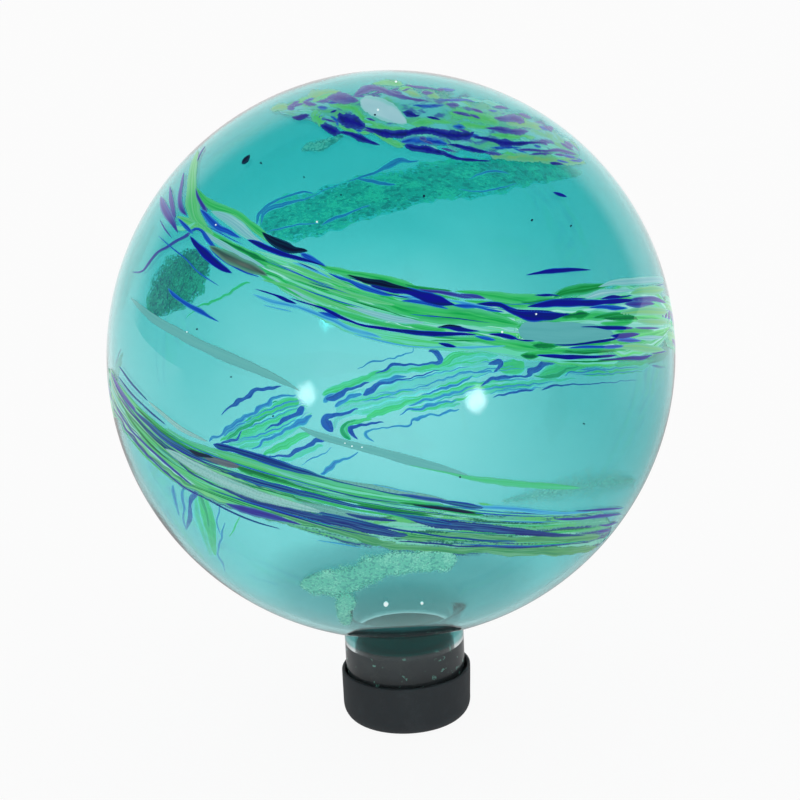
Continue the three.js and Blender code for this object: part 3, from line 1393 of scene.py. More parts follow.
@dataclass
class Studio:
    """The pale floor, the plain light around it and two small lamps that glint on the glass.

    A mirrored ray sees white behind the object, where the backdrop is, and a dim room on the
    camera's side, so that the glass is deep in the middle and pale at its rim.
    """

    floor_radius: float = 8.0
    floor_white: float = 0.93
    floor_mirrored: float = 0.42
    floor_near: float = 0.25
    floor_far: float = 0.8
    around: float = 0.6
    dim_room: float = 0.1
    backdrop_edge: float = -0.66
    backdrop_soft: float = 0.22
    turn_soft: float = 0.3
    lamp_distance: float = 0.6
    lamp_bright: float = 0.12
    lamp_dark: float = 0.48
    lamp_cloud: float = 0.25
    glints: tuple[Glint, ...] = (
        Glint(306, 394, 0.125, 0.14, 7.5),
        Glint(477, 400, 0.135, 0.155, 10.0),
    )

    def lay_floor(self) -> bpy.types.Object:
        """Lays the floor."""
        deselect()
        bpy.ops.mesh.primitive_circle_add(
            vertices=64, radius=self.floor_radius, fill_type="NGON", location=(0, 0, 0)
        )
        floor = bpy.context.object
        floor.name = "studio_floor"
        material, board = new_material("floor_white")
        seen, through, mirrored = ray_kinds(board)
        far = board.node("ShaderNodeVectorMath", {"operation": "LENGTH"}, {0: board.place()}, 1)
        behind_it = board.node(
            "ShaderNodeVectorMath", {"operation": "DOT_PRODUCT"},
            {0: board.place(), 1: tuple(-CAMERA.back)}, 1,
        )
        turned = behind_it.ease(-self.turn_soft, self.turn_soft)
        distant = self.dim_room + turned * (self.floor_white - self.dim_room)
        fades = far.ease(self.floor_near, self.floor_far)
        shown = distant * fades + (1 - fades) * self.floor_mirrored
        shining = (seen * self.floor_white + through + mirrored).at_most(1.0)
        strength = 1 - mirrored * (1 - shown)
        paint = board.node("ShaderNodeBsdfDiffuse", {}, {"Color": (0.9, 0.9, 0.9, 1.0)})
        shine = board.node(
            "ShaderNodeEmission", {}, {"Color": (1.0, 1.0, 1.0, 1.0), "Strength": strength}
        )
        mixed = board.node("ShaderNodeMixShader", {}, {0: shining, 1: paint, 2: shine})
        board.node("ShaderNodeOutputMaterial", {}, {"Surface": mixed})
        floor.data.materials.append(material)
        return floor

    def light_world(self) -> None:
        """Sets the light around the object, and the white that is seen behind it."""
        world = bpy.data.worlds.new("studio_world")
        world.use_nodes = True
        bpy.context.scene.world = world
        board = Board(world.node_tree)
        seen, through, mirrored = ray_kinds(board)
        direction = board.node("ShaderNodeTexCoord", output="Generated")
        facing = board.node(
            "ShaderNodeVectorMath", {"operation": "DOT_PRODUCT"},
            {0: direction, 1: tuple(CAMERA.back)}, 1,
        )
        backdrop = 1 - facing.ease(self.backdrop_edge, self.backdrop_edge + self.backdrop_soft)
        glossy = backdrop * (1 - self.dim_room) + self.dim_room
        white = (seen + through).at_most(1.0)
        other = mirrored * (glossy - self.around) + self.around
        strength = white * (1 - other) + other
        light = board.node(
            "ShaderNodeBackground", {}, {"Color": (1.0, 1.0, 1.0, 1.0), "Strength": strength}
        )
        board.node("ShaderNodeOutputWorld", {}, {"Surface": light})

    def hang_lamps(self) -> None:
        """Hangs a round lamp, soft at its border, where the ball mirrors it at each glint."""
        for number, glint in enumerate(self.glints):
            out = CAMERA.on_ball(glint.x, glint.y, Side.FRONT)
            spot = BALL_CENTRE + out * BALL_RADIUS
            to_eye = (BALL_CENTRE + CAMERA.back * CAMERA.distance - spot).normalized()
            to_lamp = (2 * out.dot(to_eye) * out - to_eye).normalized()
            deselect()
            bpy.ops.object.light_add(type="AREA", location=spot + to_lamp * self.lamp_distance)
            lamp = bpy.context.object
            lamp.name = f"glint_lamp_{number + 1}"
            lamp.rotation_euler = to_lamp.to_track_quat("Z", "Y").to_euler()
            lamp.data.shape = "ELLIPSE"
            lamp.data.size = glint.wide
            lamp.data.size_y = glint.tall
            lamp.data.energy = glint.radiance * math.pi**2 * glint.wide * glint.tall / 4
            lamp.data.use_nodes = True
            board = Board(lamp.data.node_tree)
            place = board.node("ShaderNodeNewGeometry", output="Parametric")
            middle = board.node(
                "ShaderNodeVectorMath", {"operation": "SUBTRACT"}, {0: place, 1: (0.5, 0.5, 0.0)}
            )
            reach = board.node("ShaderNodeVectorMath", {"operation": "LENGTH"}, {0: middle}, 1)
            cloud = board.noise(place, self.lamp_cloud, 2) - 0.5
            glow = 1 - (reach + cloud * self.lamp_cloud).ease(self.lamp_bright, self.lamp_dark)
            shine = board.node("ShaderNodeEmission", {}, {"Strength": glow})
            board.node("ShaderNodeOutputLight", {}, {"Surface": shine})

    def build(self) -> None:
        """Builds the studio."""
        self.lay_floor()
        self.light_world()
        self.hang_lamps()


CROWN_BED = strokes("""
    285 108 6, 315 107 22, 350 108 44, 390 112 56, 430 117 60, 470 124 60, 510 133 50, 550 146 34,
      584 158 16
""")


def crown() -> Iterator[Swirl]:
    """Lists the chips around the top of the ball."""
    yield Swirl(
        "crown_veil",
        VeilGlass(
            "crown_veil_glass", "green_glass", srgb(74, 190, 162),
            (
                Thread(srgb(80, 190, 120), 0.42, 5, 1.1, 0.12),
                Thread(srgb(90, 202, 205), 0.5, 5, 1.2, 0.12),
                Thread(srgb(60, 116, 175), 0.2, 8, 0.8, 0.08),
            ),
            opacity=0.95, soft_edge=0.3, grain=0.16, glow=0.2, grain_size=1.1 * MM,
        ),
        strokes("""
            278 111 8, 300 109 20, 325 110 30, 350 112 40, 380 113 50, 410 114 56, 440 118 60,
              470 124 60, 500 130 54, 530 138 44, 556 147 32, 580 156 16
        """),
        proud=0.014 * MM,
    )
    yield Swirl("crown_green", CROWN_GREEN, strokes("""
        310 112 6, 317 116 15, 321 121 11, 319 127 3
        328 104 4, 342 106 8, 355 109 9, 362 117 8, 372 124 8, 386 128 8, 400 129 6, 412 125 6,
          424 122 8, 436 123 4
        448 113 4, 462 114 12, 478 117 15, 492 121 12, 500 126 5
        458 124 4, 474 126 8, 492 128 4
        370 131 1, 384 138 5, 396 144 6, 404 147 2
        490 134 4, 505 136 8, 520 137 8, 536 138 4
        372 84 2, 388 82 6, 404 85 3
    """), stands_for=("crown_left_trail", "crown_right_trail"), uneven=0.35, proud=0.02 * MM)
    yield Swirl("crown_olive", CROWN_OLIVE, strokes("""
        270 110 4, 280 107 9, 292 107 5
        304 100 3, 314 96 10, 323 93 9, 334 92 6, 344 94 2
        424 92 4, 432 95 8, 441 98 4
        398 88 3, 410 92 7, 422 97 4
        505 122 5, 520 123 10, 535 126 9, 548 130 3
        490 156 5, 510 157 9, 530 158 8, 550 159 9, 570 160 10, 586 163 4
    """), proud=0.03 * MM, uneven=0.35)
    yield Swirl("crown_milky", EGG, strokes("""
        360 100 12, 367 103 17, 376 107 21, 385 111 22, 393 115 18, 401 120 10, 407 124 6
    """), stands_for=("crown_pale_chip",), proud=0.118 * MM)
    yield Swirl("crown_navy", CROWN_NAVY, strokes("""
        291 117 1, 298 118 5, 305 116 5, 310 115 1
        330 112.5 1.5, 334 111.5 3, 337 110 1
        339 112 3, 341 118 11, 350 121 14, 358 124 10, 366 127 4
        320 125 2, 326 127 6, 334 131 8, 341 133 3
        339 132 3, 350 134 5, 360 138 7, 370 142 6, 380 145 1
        364 127 2, 376 131 6, 388 134 9, 402 134 8, 416 131 9, 430 131 9, 445 134 8, 458 136 9,
          470 135 7, 474 132 1
        402 112 2, 409 114 6, 416 116 4, 421 115 1
        404 145 3, 414 148 7, 426 149 7, 438 152 6, 449 154 2
        440 152 2, 450 156 4, 460 159 3, 475 160.5 2, 491 161 0.8
        447 144 1, 458 146 4, 470 149 5, 480 151 3, 489 152 1
        472 137 2, 480 138 4, 492 140 4, 504 143 7, 518 144 6, 530 143 3, 547 143 1
        549 163 1, 555 163.5 4, 564 164.5 1
        426 117 1, 433 118 2.5, 441 120 1
    """), stands_for=("crown_navy_trail",), proud=0.102 * MM, uneven=0.3)
    yield Swirl("crown_purple", CROWN_PURPLE, strokes("""
        325 99 2, 336 98 8, 348 99 9, 359 101 3
        353 97 2, 362 91 8, 372 88 8, 382 90 7, 392 94 6, 402 97 5, 416 100 4, 427 101 1
        302 101 1, 309 104 5, 317 105 2
        291 107 1, 295 103 3.5, 300 101 1
        484 128 1, 496 129 5, 508 131 6, 520 132 6, 529 131 1
        493 118 1, 503 119 6, 513 118 7, 522 121 6, 525 123 1
        445 104 1, 452 105 4, 460 106 2
        421 92 1, 427 93 4, 434 93 1
        405 85 1, 416 87 3, 428 88 2, 439 90 1
        493 107 1, 500 107 4, 509 109 1
        564 141 2, 569 145 5, 573 148 1
        538 141 1, 544 143 4, 548 146 1
        517 150 1, 530 150 3, 545 151 2, 556 150 3, 567 152 3, 577 155 1
        529 155 1, 536 154 2.5, 546 153.5 2, 553 153.5 1
    """), proud=0.086 * MM, uneven=0.3)
    yield Swirl("crown_blue", CROWN_BLUE, strokes("""
        400 142 3, 410 141 8, 424 141 10, 438 142 8, 449 145 2
        317 107 2, 322 108 5, 328 108 2
        412 105 1, 422 106 4, 433 106 4, 445 105 1
        437 100 1, 448 100 3, 460 100 3, 472 100 1
        438 88 1, 447 90 4, 456 90 1
        488 110 1, 493 111 2.5, 498 111 1
        490 148 1, 500 148 4, 511 147.5 3, 521 148 1
        452 126 2, 460 127 6, 466 128 2
        330 116 2, 336 120 4, 338 127 3
    """), proud=0.066 * MM)
    for name, finish, count, length, width, seed, height in (
        ("crown_green_flecks", CROWN_GREEN, 14, (10, 28), (3.0, 7.0), 41, 0.04),
        ("crown_mint_flecks", CROWN_MINT, 24, (8, 24), (3.0, 7.0), 42, 0.05),
        ("crown_blue_flecks", CROWN_BLUE, 18, (6, 18), (1.6, 4.0), 43, 0.058),
        ("crown_purple_flecks", CROWN_PURPLE, 36, (6, 22), (1.6, 4.6), 44, 0.077),
    ):
        marks = threads(CROWN_BED, count, length, width, seed)
        yield Swirl(name, finish, marks, proud=height * MM, step_up=0.0002 * MM)


UPPER_BED = strokes("""
    205 226 4, 240 250 20, 275 267 34, 320 286 42, 370 302 44, 420 312 44, 470 319 40, 520 325 50,
      570 324 62, 620 322 66, 656 322 54, 668 323 26
""")


def upper_swirl() -> Iterator[Swirl]:
    """Lists the trails of the band that winds down across the upper front."""
    yield Swirl(
        "upper_veil",
        VeilGlass(
            "upper_veil_glass", "green_glass", srgb(92, 206, 178),
            (
                Thread(srgb(128, 210, 200), 0.5, 9, 5.0, 0.08),
                Thread(srgb(84, 210, 122), 0.5, 11, 4.5, 0.08),
                Thread(srgb(32, 180, 92), 0.25, 14, 3.5, 0.06),
                Thread(srgb(150, 224, 212), 0.2, 20, 6.0, 0.06),
            ),
            opacity=0.97, soft_edge=0.3,
        ),
        strokes("""
            240 252 6, 262 264 20, 290 276 34, 320 288 42, 350 297 44, 385 306 44, 420 314 44,
              455 318 40, 490 322 38, 520 328 36, 540 332 24
            512 322 34, 540 324 60, 570 324 68, 600 322 74, 630 322 78, 650 322 70, 662 323 48,
              670 324 24, 675 326 6
        """),
        proud=0.014 * MM,
    )
    yield Swirl(
        "upper_low_veil",
        VeilGlass(
            "upper_low_veil_glass", "mint_glass", srgb(110, 215, 205),
            (Thread(srgb(95, 210, 170), 0.5, 6, 4.0), Thread(srgb(75, 200, 120), 0.2, 9, 4.0)),
            opacity=0.85, soft_edge=0.5,
        ),
        strokes("""
            300 306 3, 330 320 8, 365 332 14, 400 339 16, 440 344 14, 480 346 16, 515 350 18,
              545 354 20, 580 358 18, 620 360 14
        """),
        proud=0.008 * MM,
    )
    yield Swirl("upper_green", LEAF_GREEN, strokes("""
        196 187 1, 200 194 5, 207 202 9, 216 207 10, 226 210 9, 236 214 8, 244 219 7, 252 226 8,
          260 232 8, 269 237 2
        203 229 1, 212 234 5, 222 240 7, 232 246 8, 242 251 9, 252 256 11, 262 261 12, 274 266 9,
          288 271 4
        318 265 1, 335 270 6, 350 273 5, 365 275 6, 385 279 7, 400 283 9, 410 286 7, 419 289 1
        352 293 2, 385 303 11, 405 310 17, 430 314 18, 455 315 18, 480 318 16, 500 321 12,
          520 325 4
        425 335 2, 440 338 6, 460 340 7, 480 340 6, 500 343 8, 520 346 11, 540 349 6
        455 291 1, 475 293 5, 495 296 9, 515 299 12, 535 300 11, 550 300 6, 560 300 1
        583 319 2, 592 316 9, 602 316 10, 612 315 5, 628 313 2
        600 323 2, 612 324 6, 624 323 6, 634 321 2
        524 354 2, 540 352 6, 556 351 7, 575 351 5, 595 350 7, 612 349 5, 628 350 2
        614 331 1, 626 331 5, 640 331 5, 654 331 2
    """), stands_for=("upper_green_trail",), proud=0.043 * MM)
    yield Swirl("upper_bright_green", BRIGHT_GREEN, strokes("""
        198 150 1, 194 165 7, 192 180 10, 192 195 12, 193 207 14, 196 218 14, 204 227 9, 214 235 3
        177 216 2, 186 222 9, 196 226 9, 207 230 3
        266 265 2, 285 273 6, 303 279 7, 322 285 7, 345 293 6, 370 300 5, 395 305 2
        262 280 1, 280 284 3, 300 290 4, 320 299 5, 345 308 5, 370 316 3, 395 322 1
        288 264 2, 310 272 6, 330 279 6, 352 288 3
        210 212 0.8, 222 212 1.2, 236 216 1.5, 248 225 1.5, 259 235 1.5, 270 243 1.5, 282 249 0.8
    """), proud=0.064 * MM)
    yield Swirl("upper_mint", MINT, strokes("""
        254 250 1, 275 257 4, 295 263 5, 315 269 4, 338 278 1
        2.5: 276 276, 305 286, 335 298, 365 309, 395 318
        2.0: 330 294, 360 305, 390 313, 420 319
        2.5: 390 333, 430 338, 476 344, 505 348
        2.5: 500 309, 540 309.5, 560 308, 585 310
        196 222 1, 186 228 4, 178 228 4, 170 222 1
    """), proud=0.074 * MM)
    yield Swirl("upper_deep_leaf", DEEP_LEAF, strokes("""
        553 298 2, 562 293 8, 575 290 11, 590 288 10, 602 286 5, 612 285 1
        520 302 1, 532 303 5, 546 301 6, 558 300 2
        403 284 1, 420 288 4, 436 290 4, 452 291 1
        592 318 2, 606 316 6, 620 315 5, 632 315 1
        560 352 1, 580 352 4, 600 351 4, 618 351 1
    """), proud=0.0535 * MM)
    yield Swirl("upper_olive", OLIVE, strokes("""
        630 294 2, 640 291 8, 650 290 10, 658 290 8, 665 289 3
        620 313 3, 640 311 8, 655 311 9, 668 312 6
        612 347 3, 635 347 8, 650 349 8, 664 350 4
        636 321 3, 652 322 7, 668 322 5
    """), proud=0.056 * MM)
    yield Swirl("upper_speckled_green", DARK_GREEN, strokes("""
        218 238 1, 232 245 3, 246 252 5, 258 258 5, 270 263 1
        560 317 2, 570 316 7, 580 315 9, 591 314 2
        600 318 2, 612 318 5, 625 318 6, 634 318 4, 638 320 1
        531 346 3, 545 346 7, 558 346 2
        520 355 2, 530 356 6, 540 356 2
        2.5: 562 350, 580 353, 600 352, 616 350
        2.0: 560 361, 590 361.5, 615 360, 640 360
        1.3: 350 300, 366 305, 384 310, 402 316, 420 321
        1.3: 262 272, 275 276, 284 279
        1.3: 303 283, 318 288, 330 291
        1.4: 430 341, 455 340.5, 476 341
    """), proud=0.083 * MM, uneven=0.4)
    yield Swirl("upper_milky", MILKY, strokes("""
        211 211 1, 220 215 8, 228 219 12, 238 226 13, 246 233 10, 254 239 7, 262 244 4, 272 249 1
        203 231 1, 212 238 5, 222 244 6, 232 250 6, 242 256 6, 252 261 5, 266 268 1
        345 306 1, 370 313 6, 390 318 8, 408 321 6, 425 323 1
        598 287 1, 612 283 6, 626 282 8, 640 281 8, 654 280 8, 665 280 4
        584 299 1, 598 294 8, 610 292 6, 622 291 4, 636 290 1
        5: 634 338, 648 338, 664 337
        3.5: 598 327, 580 328
    """), stands_for=("upper_pale_trail",), proud=0.095 * MM)
    yield Swirl("right_grey_mint", GREY_MINT, strokes("""
        518 330 15, 530 331 20, 545 332 22, 560 333 23, 575 333 22, 590 333 18, 603 333 12,
          614 335 4
    """), stands_for=("right_pale_trail",), proud=0.104 * MM, uneven=0.06, fade=3.0)
    yield Swirl("upper_purple", PURPLE, strokes("""
        184 172 0.8, 182 183 3, 180 195 4, 180 203 5, 182 210 5, 187 216 1
        161 196 2, 164 207 8, 168 215 9, 173 223 6, 178 233 1
        170 186 1, 171 198 4, 173 209 5, 175 219 3
        196 188 0.8, 198 196 3, 202 204 4, 207 212 5
        1.6: 160 220, 165 229, 172 238
        1.5: 205 146, 200 154, 197 162
        132 272 1, 142 271 1.6, 150 261 2.2, 158 252 2.6, 167 247 2.6, 176 241 3, 186 236 3,
          190 232 3
        455 294 1, 466 296 5, 478 297 4, 486 299 1
        418 289 0.8, 428 291 3, 440 292 4, 452 294 4, 464 297 3, 474 298 0.8
        624 304 2, 636 304 8, 646 303 6, 655 304 1
        630 300 3, 645 299 6, 655 299 5, 666 303 2
        2.6: 634 328, 646 328, 660 328
        1.6: 650 354, 660 352.5, 667 351
        2.5: 658 285, 664 284
    """), proud=0.118 * MM)
    yield Swirl("upper_blue", BLUE, strokes("""
        200 209 1, 206 215 6, 212 222 8, 219 228 8, 227 231 6, 234 235 4, 241 238 0.8
        178 218 2, 186 227 5, 193 234 3
        190 232 2, 196 229 3, 202 231 3, 207 238 5, 213 246 4, 221 256 3, 229 263 1
        300 253 3, 308 257 7, 316 261 5, 326 266 0.8
        328 273 0.8, 340 278 3, 350 281 4, 360 286 6, 372 290 6, 385 294 4, 393 296 0.8
        401 301 0.8, 412 301 4, 424 303 4, 436 306 3, 449 309 0.8
        451 305 1, 465 306 5, 478 307 3, 490 310 3, 504 312 1
        318 312 1, 328 315 4, 339 319 1
        474 336 1, 485 338 4, 496 340 2
        568 348 1, 585 347 3, 600 347 3, 612 347 4, 624 346 2
        616 340 2, 628 340 5, 642 341 1
        588 308 0.8, 602 307 4, 615 308 5, 628 308 1
        168 288 0.8, 174 295 4, 182 301 4, 190 306 5, 200 311 5, 208 316 3, 219 322 0.6
        210 249 1, 222 259 3, 235 267 2.5, 247 273 2, 260 277 0.8
        1.2: 158 236, 172 248, 186 259, 196 270, 208 279, 219 286
    """), proud=0.131 * MM)
    yield Swirl("upper_pale_blue", PALE_BLUE, strokes("""
        252 294 1, 262 298 4, 274 302 5, 288 305 4, 300 309 1
        288 303 1, 305 309 5, 320 315 5, 335 321 5, 348 328 5, 360 332 5, 372 335 4, 382 338 1
        262 305 0.8, 280 309 1.6, 293 312 0.8
        353 334 1, 370 338 2, 385 342 2, 400 345 1.6, 420 347 1.2, 445 347 1, 478 349 0.8
        292 262 1, 306 267 3, 320 273 3, 332 279 1
        392 296 1, 408 297 4, 424 300 2
        440 299 1, 458 302 3, 476 305 3, 492 308 1
        452 347 1, 480 347 2, 506 346 1
    """), proud=0.107 * MM)
    yield Swirl("upper_navy", NAVY, strokes("""
        190 236 1, 196 244 6, 204 252 9, 212 260 9, 221 267 7, 228 271 4, 232 273 1
        247 240 0.8, 256 243 5, 265 247 6, 275 251 6, 286 255 5, 298 258 4, 312 262 2, 327 267 0.6
        255 289 0.6, 265 292 1.5, 275 295 2, 282 298 4, 288 301 4, 297 304 0.8
        290 298 0.6, 302 302 1.5, 312 305 1.5, 322 308 2.5, 330 312 4, 340 317 4, 350 321 2.5,
          362 325 2.2, 380 328 3, 400 331 4, 420 333 5, 440 334 5, 460 334 3.5, 477 335 0.8
        488 334 1, 500 335 4, 510 337 5, 518 339 2
        514 339 0.8, 525 340.5 2, 535 341 0.8
        438 343 0.8, 447 345 4, 457 347 1
        437 327 0.8, 448 327 4, 458 329 6, 470 330.5 3, 480 331 0.8
    """), stands_for=("upper_navy_trail",), proud=0.153 * MM)
    yield Swirl("right_navy", NAVY, strokes("""
        370 286 1, 382 288 5, 395 290 7, 408 291 8, 420 295 11, 432 299 13, 442 302 9, 450 304 4,
          456 305 0.8
        476 304 1, 490 304 5, 500 305 5, 508 309 6, 518 313 7, 530 316 12, 542 316 10, 552 316 8,
          562 315 4, 570 314 0.8
        508 309 0.8, 520 310.5 2, 540 311 2, 554 312 0.8
        527 307 0.8, 540 305 6, 555 303 8, 572 303 8, 590 303 7, 606 302 5, 620 301 5, 634 300 2
        2.0: 558 299, 572 299, 587 299
        600 299 0.8, 612 297 4, 622 297 2, 632 295 0.8
        534 295 0.6, 545 295 3, 552 295 2, 560 296 0.6
        580 327 0.6, 595 327 2, 608 328 4, 620 328 4, 634 328 1
        610 336 1, 620 336 6, 630 335 5, 640 334 1
        553 345 0.6, 568 345 2, 580 344 2, 595 342 3, 608 340 3, 620 338 1
        536 355 1, 552 356 4, 565 357 5, 580 357 4, 595 357 3, 608 356 3, 617 355 0.6
        598 360 0.6, 615 359 2, 630 358 4, 642 358 4, 652 355 0.8
        526 275 0.5, 538 273 3, 550 271 5, 565 270 5, 578 269.5 3, 591 270 0.5
        3: 553 192, 560 194.5, 567 197
    """), stands_for=("right_navy_trail",), proud=0.163 * MM)
    yield Swirl("upper_black", BLACK, strokes("""
        262 232 1, 269 238 7, 277 243 10, 286 247 11, 294 250 8, 303 250.5 4, 308 251 0.8
        347 275 0.8, 357 278 3, 367 281 6, 380 283 7, 392 286 5, 404 288 3, 413 290 0.8
        242 164 3, 246 160 5, 250 155 1
        2.2: 438 328, 448 325.5, 462 326.5
    """), stands_for=("upper_dark_trail",), proud=0.185 * MM)
    for name, finish, count, length, width, seed, height in (
        ("upper_green_threads", LEAF_GREEN, 24, (40, 120), (2.0, 6.0), 51, 0.032),
        ("upper_milky_threads", MILKY, 10, (40, 120), (1.5, 5.0), 52, 0.02),
        ("upper_mint_threads", MINT, 10, (40, 120), (0.8, 2.2), 53, 0.026),
        ("upper_blue_threads", BLUE, 8, (20, 80), (0.5, 1.3), 54, 0.147),
        ("upper_navy_threads", NAVY, 6, (20, 70), (0.5, 1.5), 55, 0.179),
    ):
        marks = threads(UPPER_BED, count, length, width, seed)
        yield Swirl(name, finish, marks, proud=height * MM, step_up=0.0003 * MM)
    yield Swirl("upper_grey", GREY, strokes("""
        209 246 2, 218 251 8, 228 257 11, 240 263 12, 252 268 11, 260 272 7, 268 276 1
    """), proud=0.19 * MM)


def long_trails() -> Iterator[Swirl]:
    """Lists the two long thin trails between the bands."""
    yield Swirl(
        "long_milky",
        TrailGlass(
            "long_milky_glass", "pale_glass", srgb(106, 184, 182), srgb(98, 178, 178),
            streak_length=6.0, soft_edge=0.3, opacity=0.9,
        ),
        strokes("""
            130 297 1, 140 307 6, 156 320 10, 178 333 11, 205 347 12, 232 359 12, 258 370 10,
              280 380 7, 300 391 1
            299 427 2, 320 436 7, 348 444 8, 376 451 9, 404 459 11, 424 464 10, 445 469 7,
              470 476 1
        """),
        stands_for=("long_pale_trail",), uneven=0.06,
    )
    yield Swirl(
        "long_green",
        TrailGlass(
            "long_green_glass", "green_glass", srgb(72, 196, 130), srgb(85, 200, 160),
            streak_length=5.0, soft_edge=0.4, opacity=0.9,
        ),
        strokes("""
            408 465 0.8, 428 469 1.6, 448 473 2.4, 470 478 5, 500 482 8, 530 485 8, 560 487 6,
              582 488 1
        """),
        stands_for=("long_green_trail",), proud=0.05 * MM, uneven=0.1,
    )


LOWER_BED = strokes("""
    110 372 4, 122 398 14, 140 424 24, 165 448 32, 200 468 38, 245 484 40, 290 497 42, 340 510 44,
      390 519 46, 440 525 46, 490 529 42, 540 530 38, 590 526 32, 622 518 22
""")


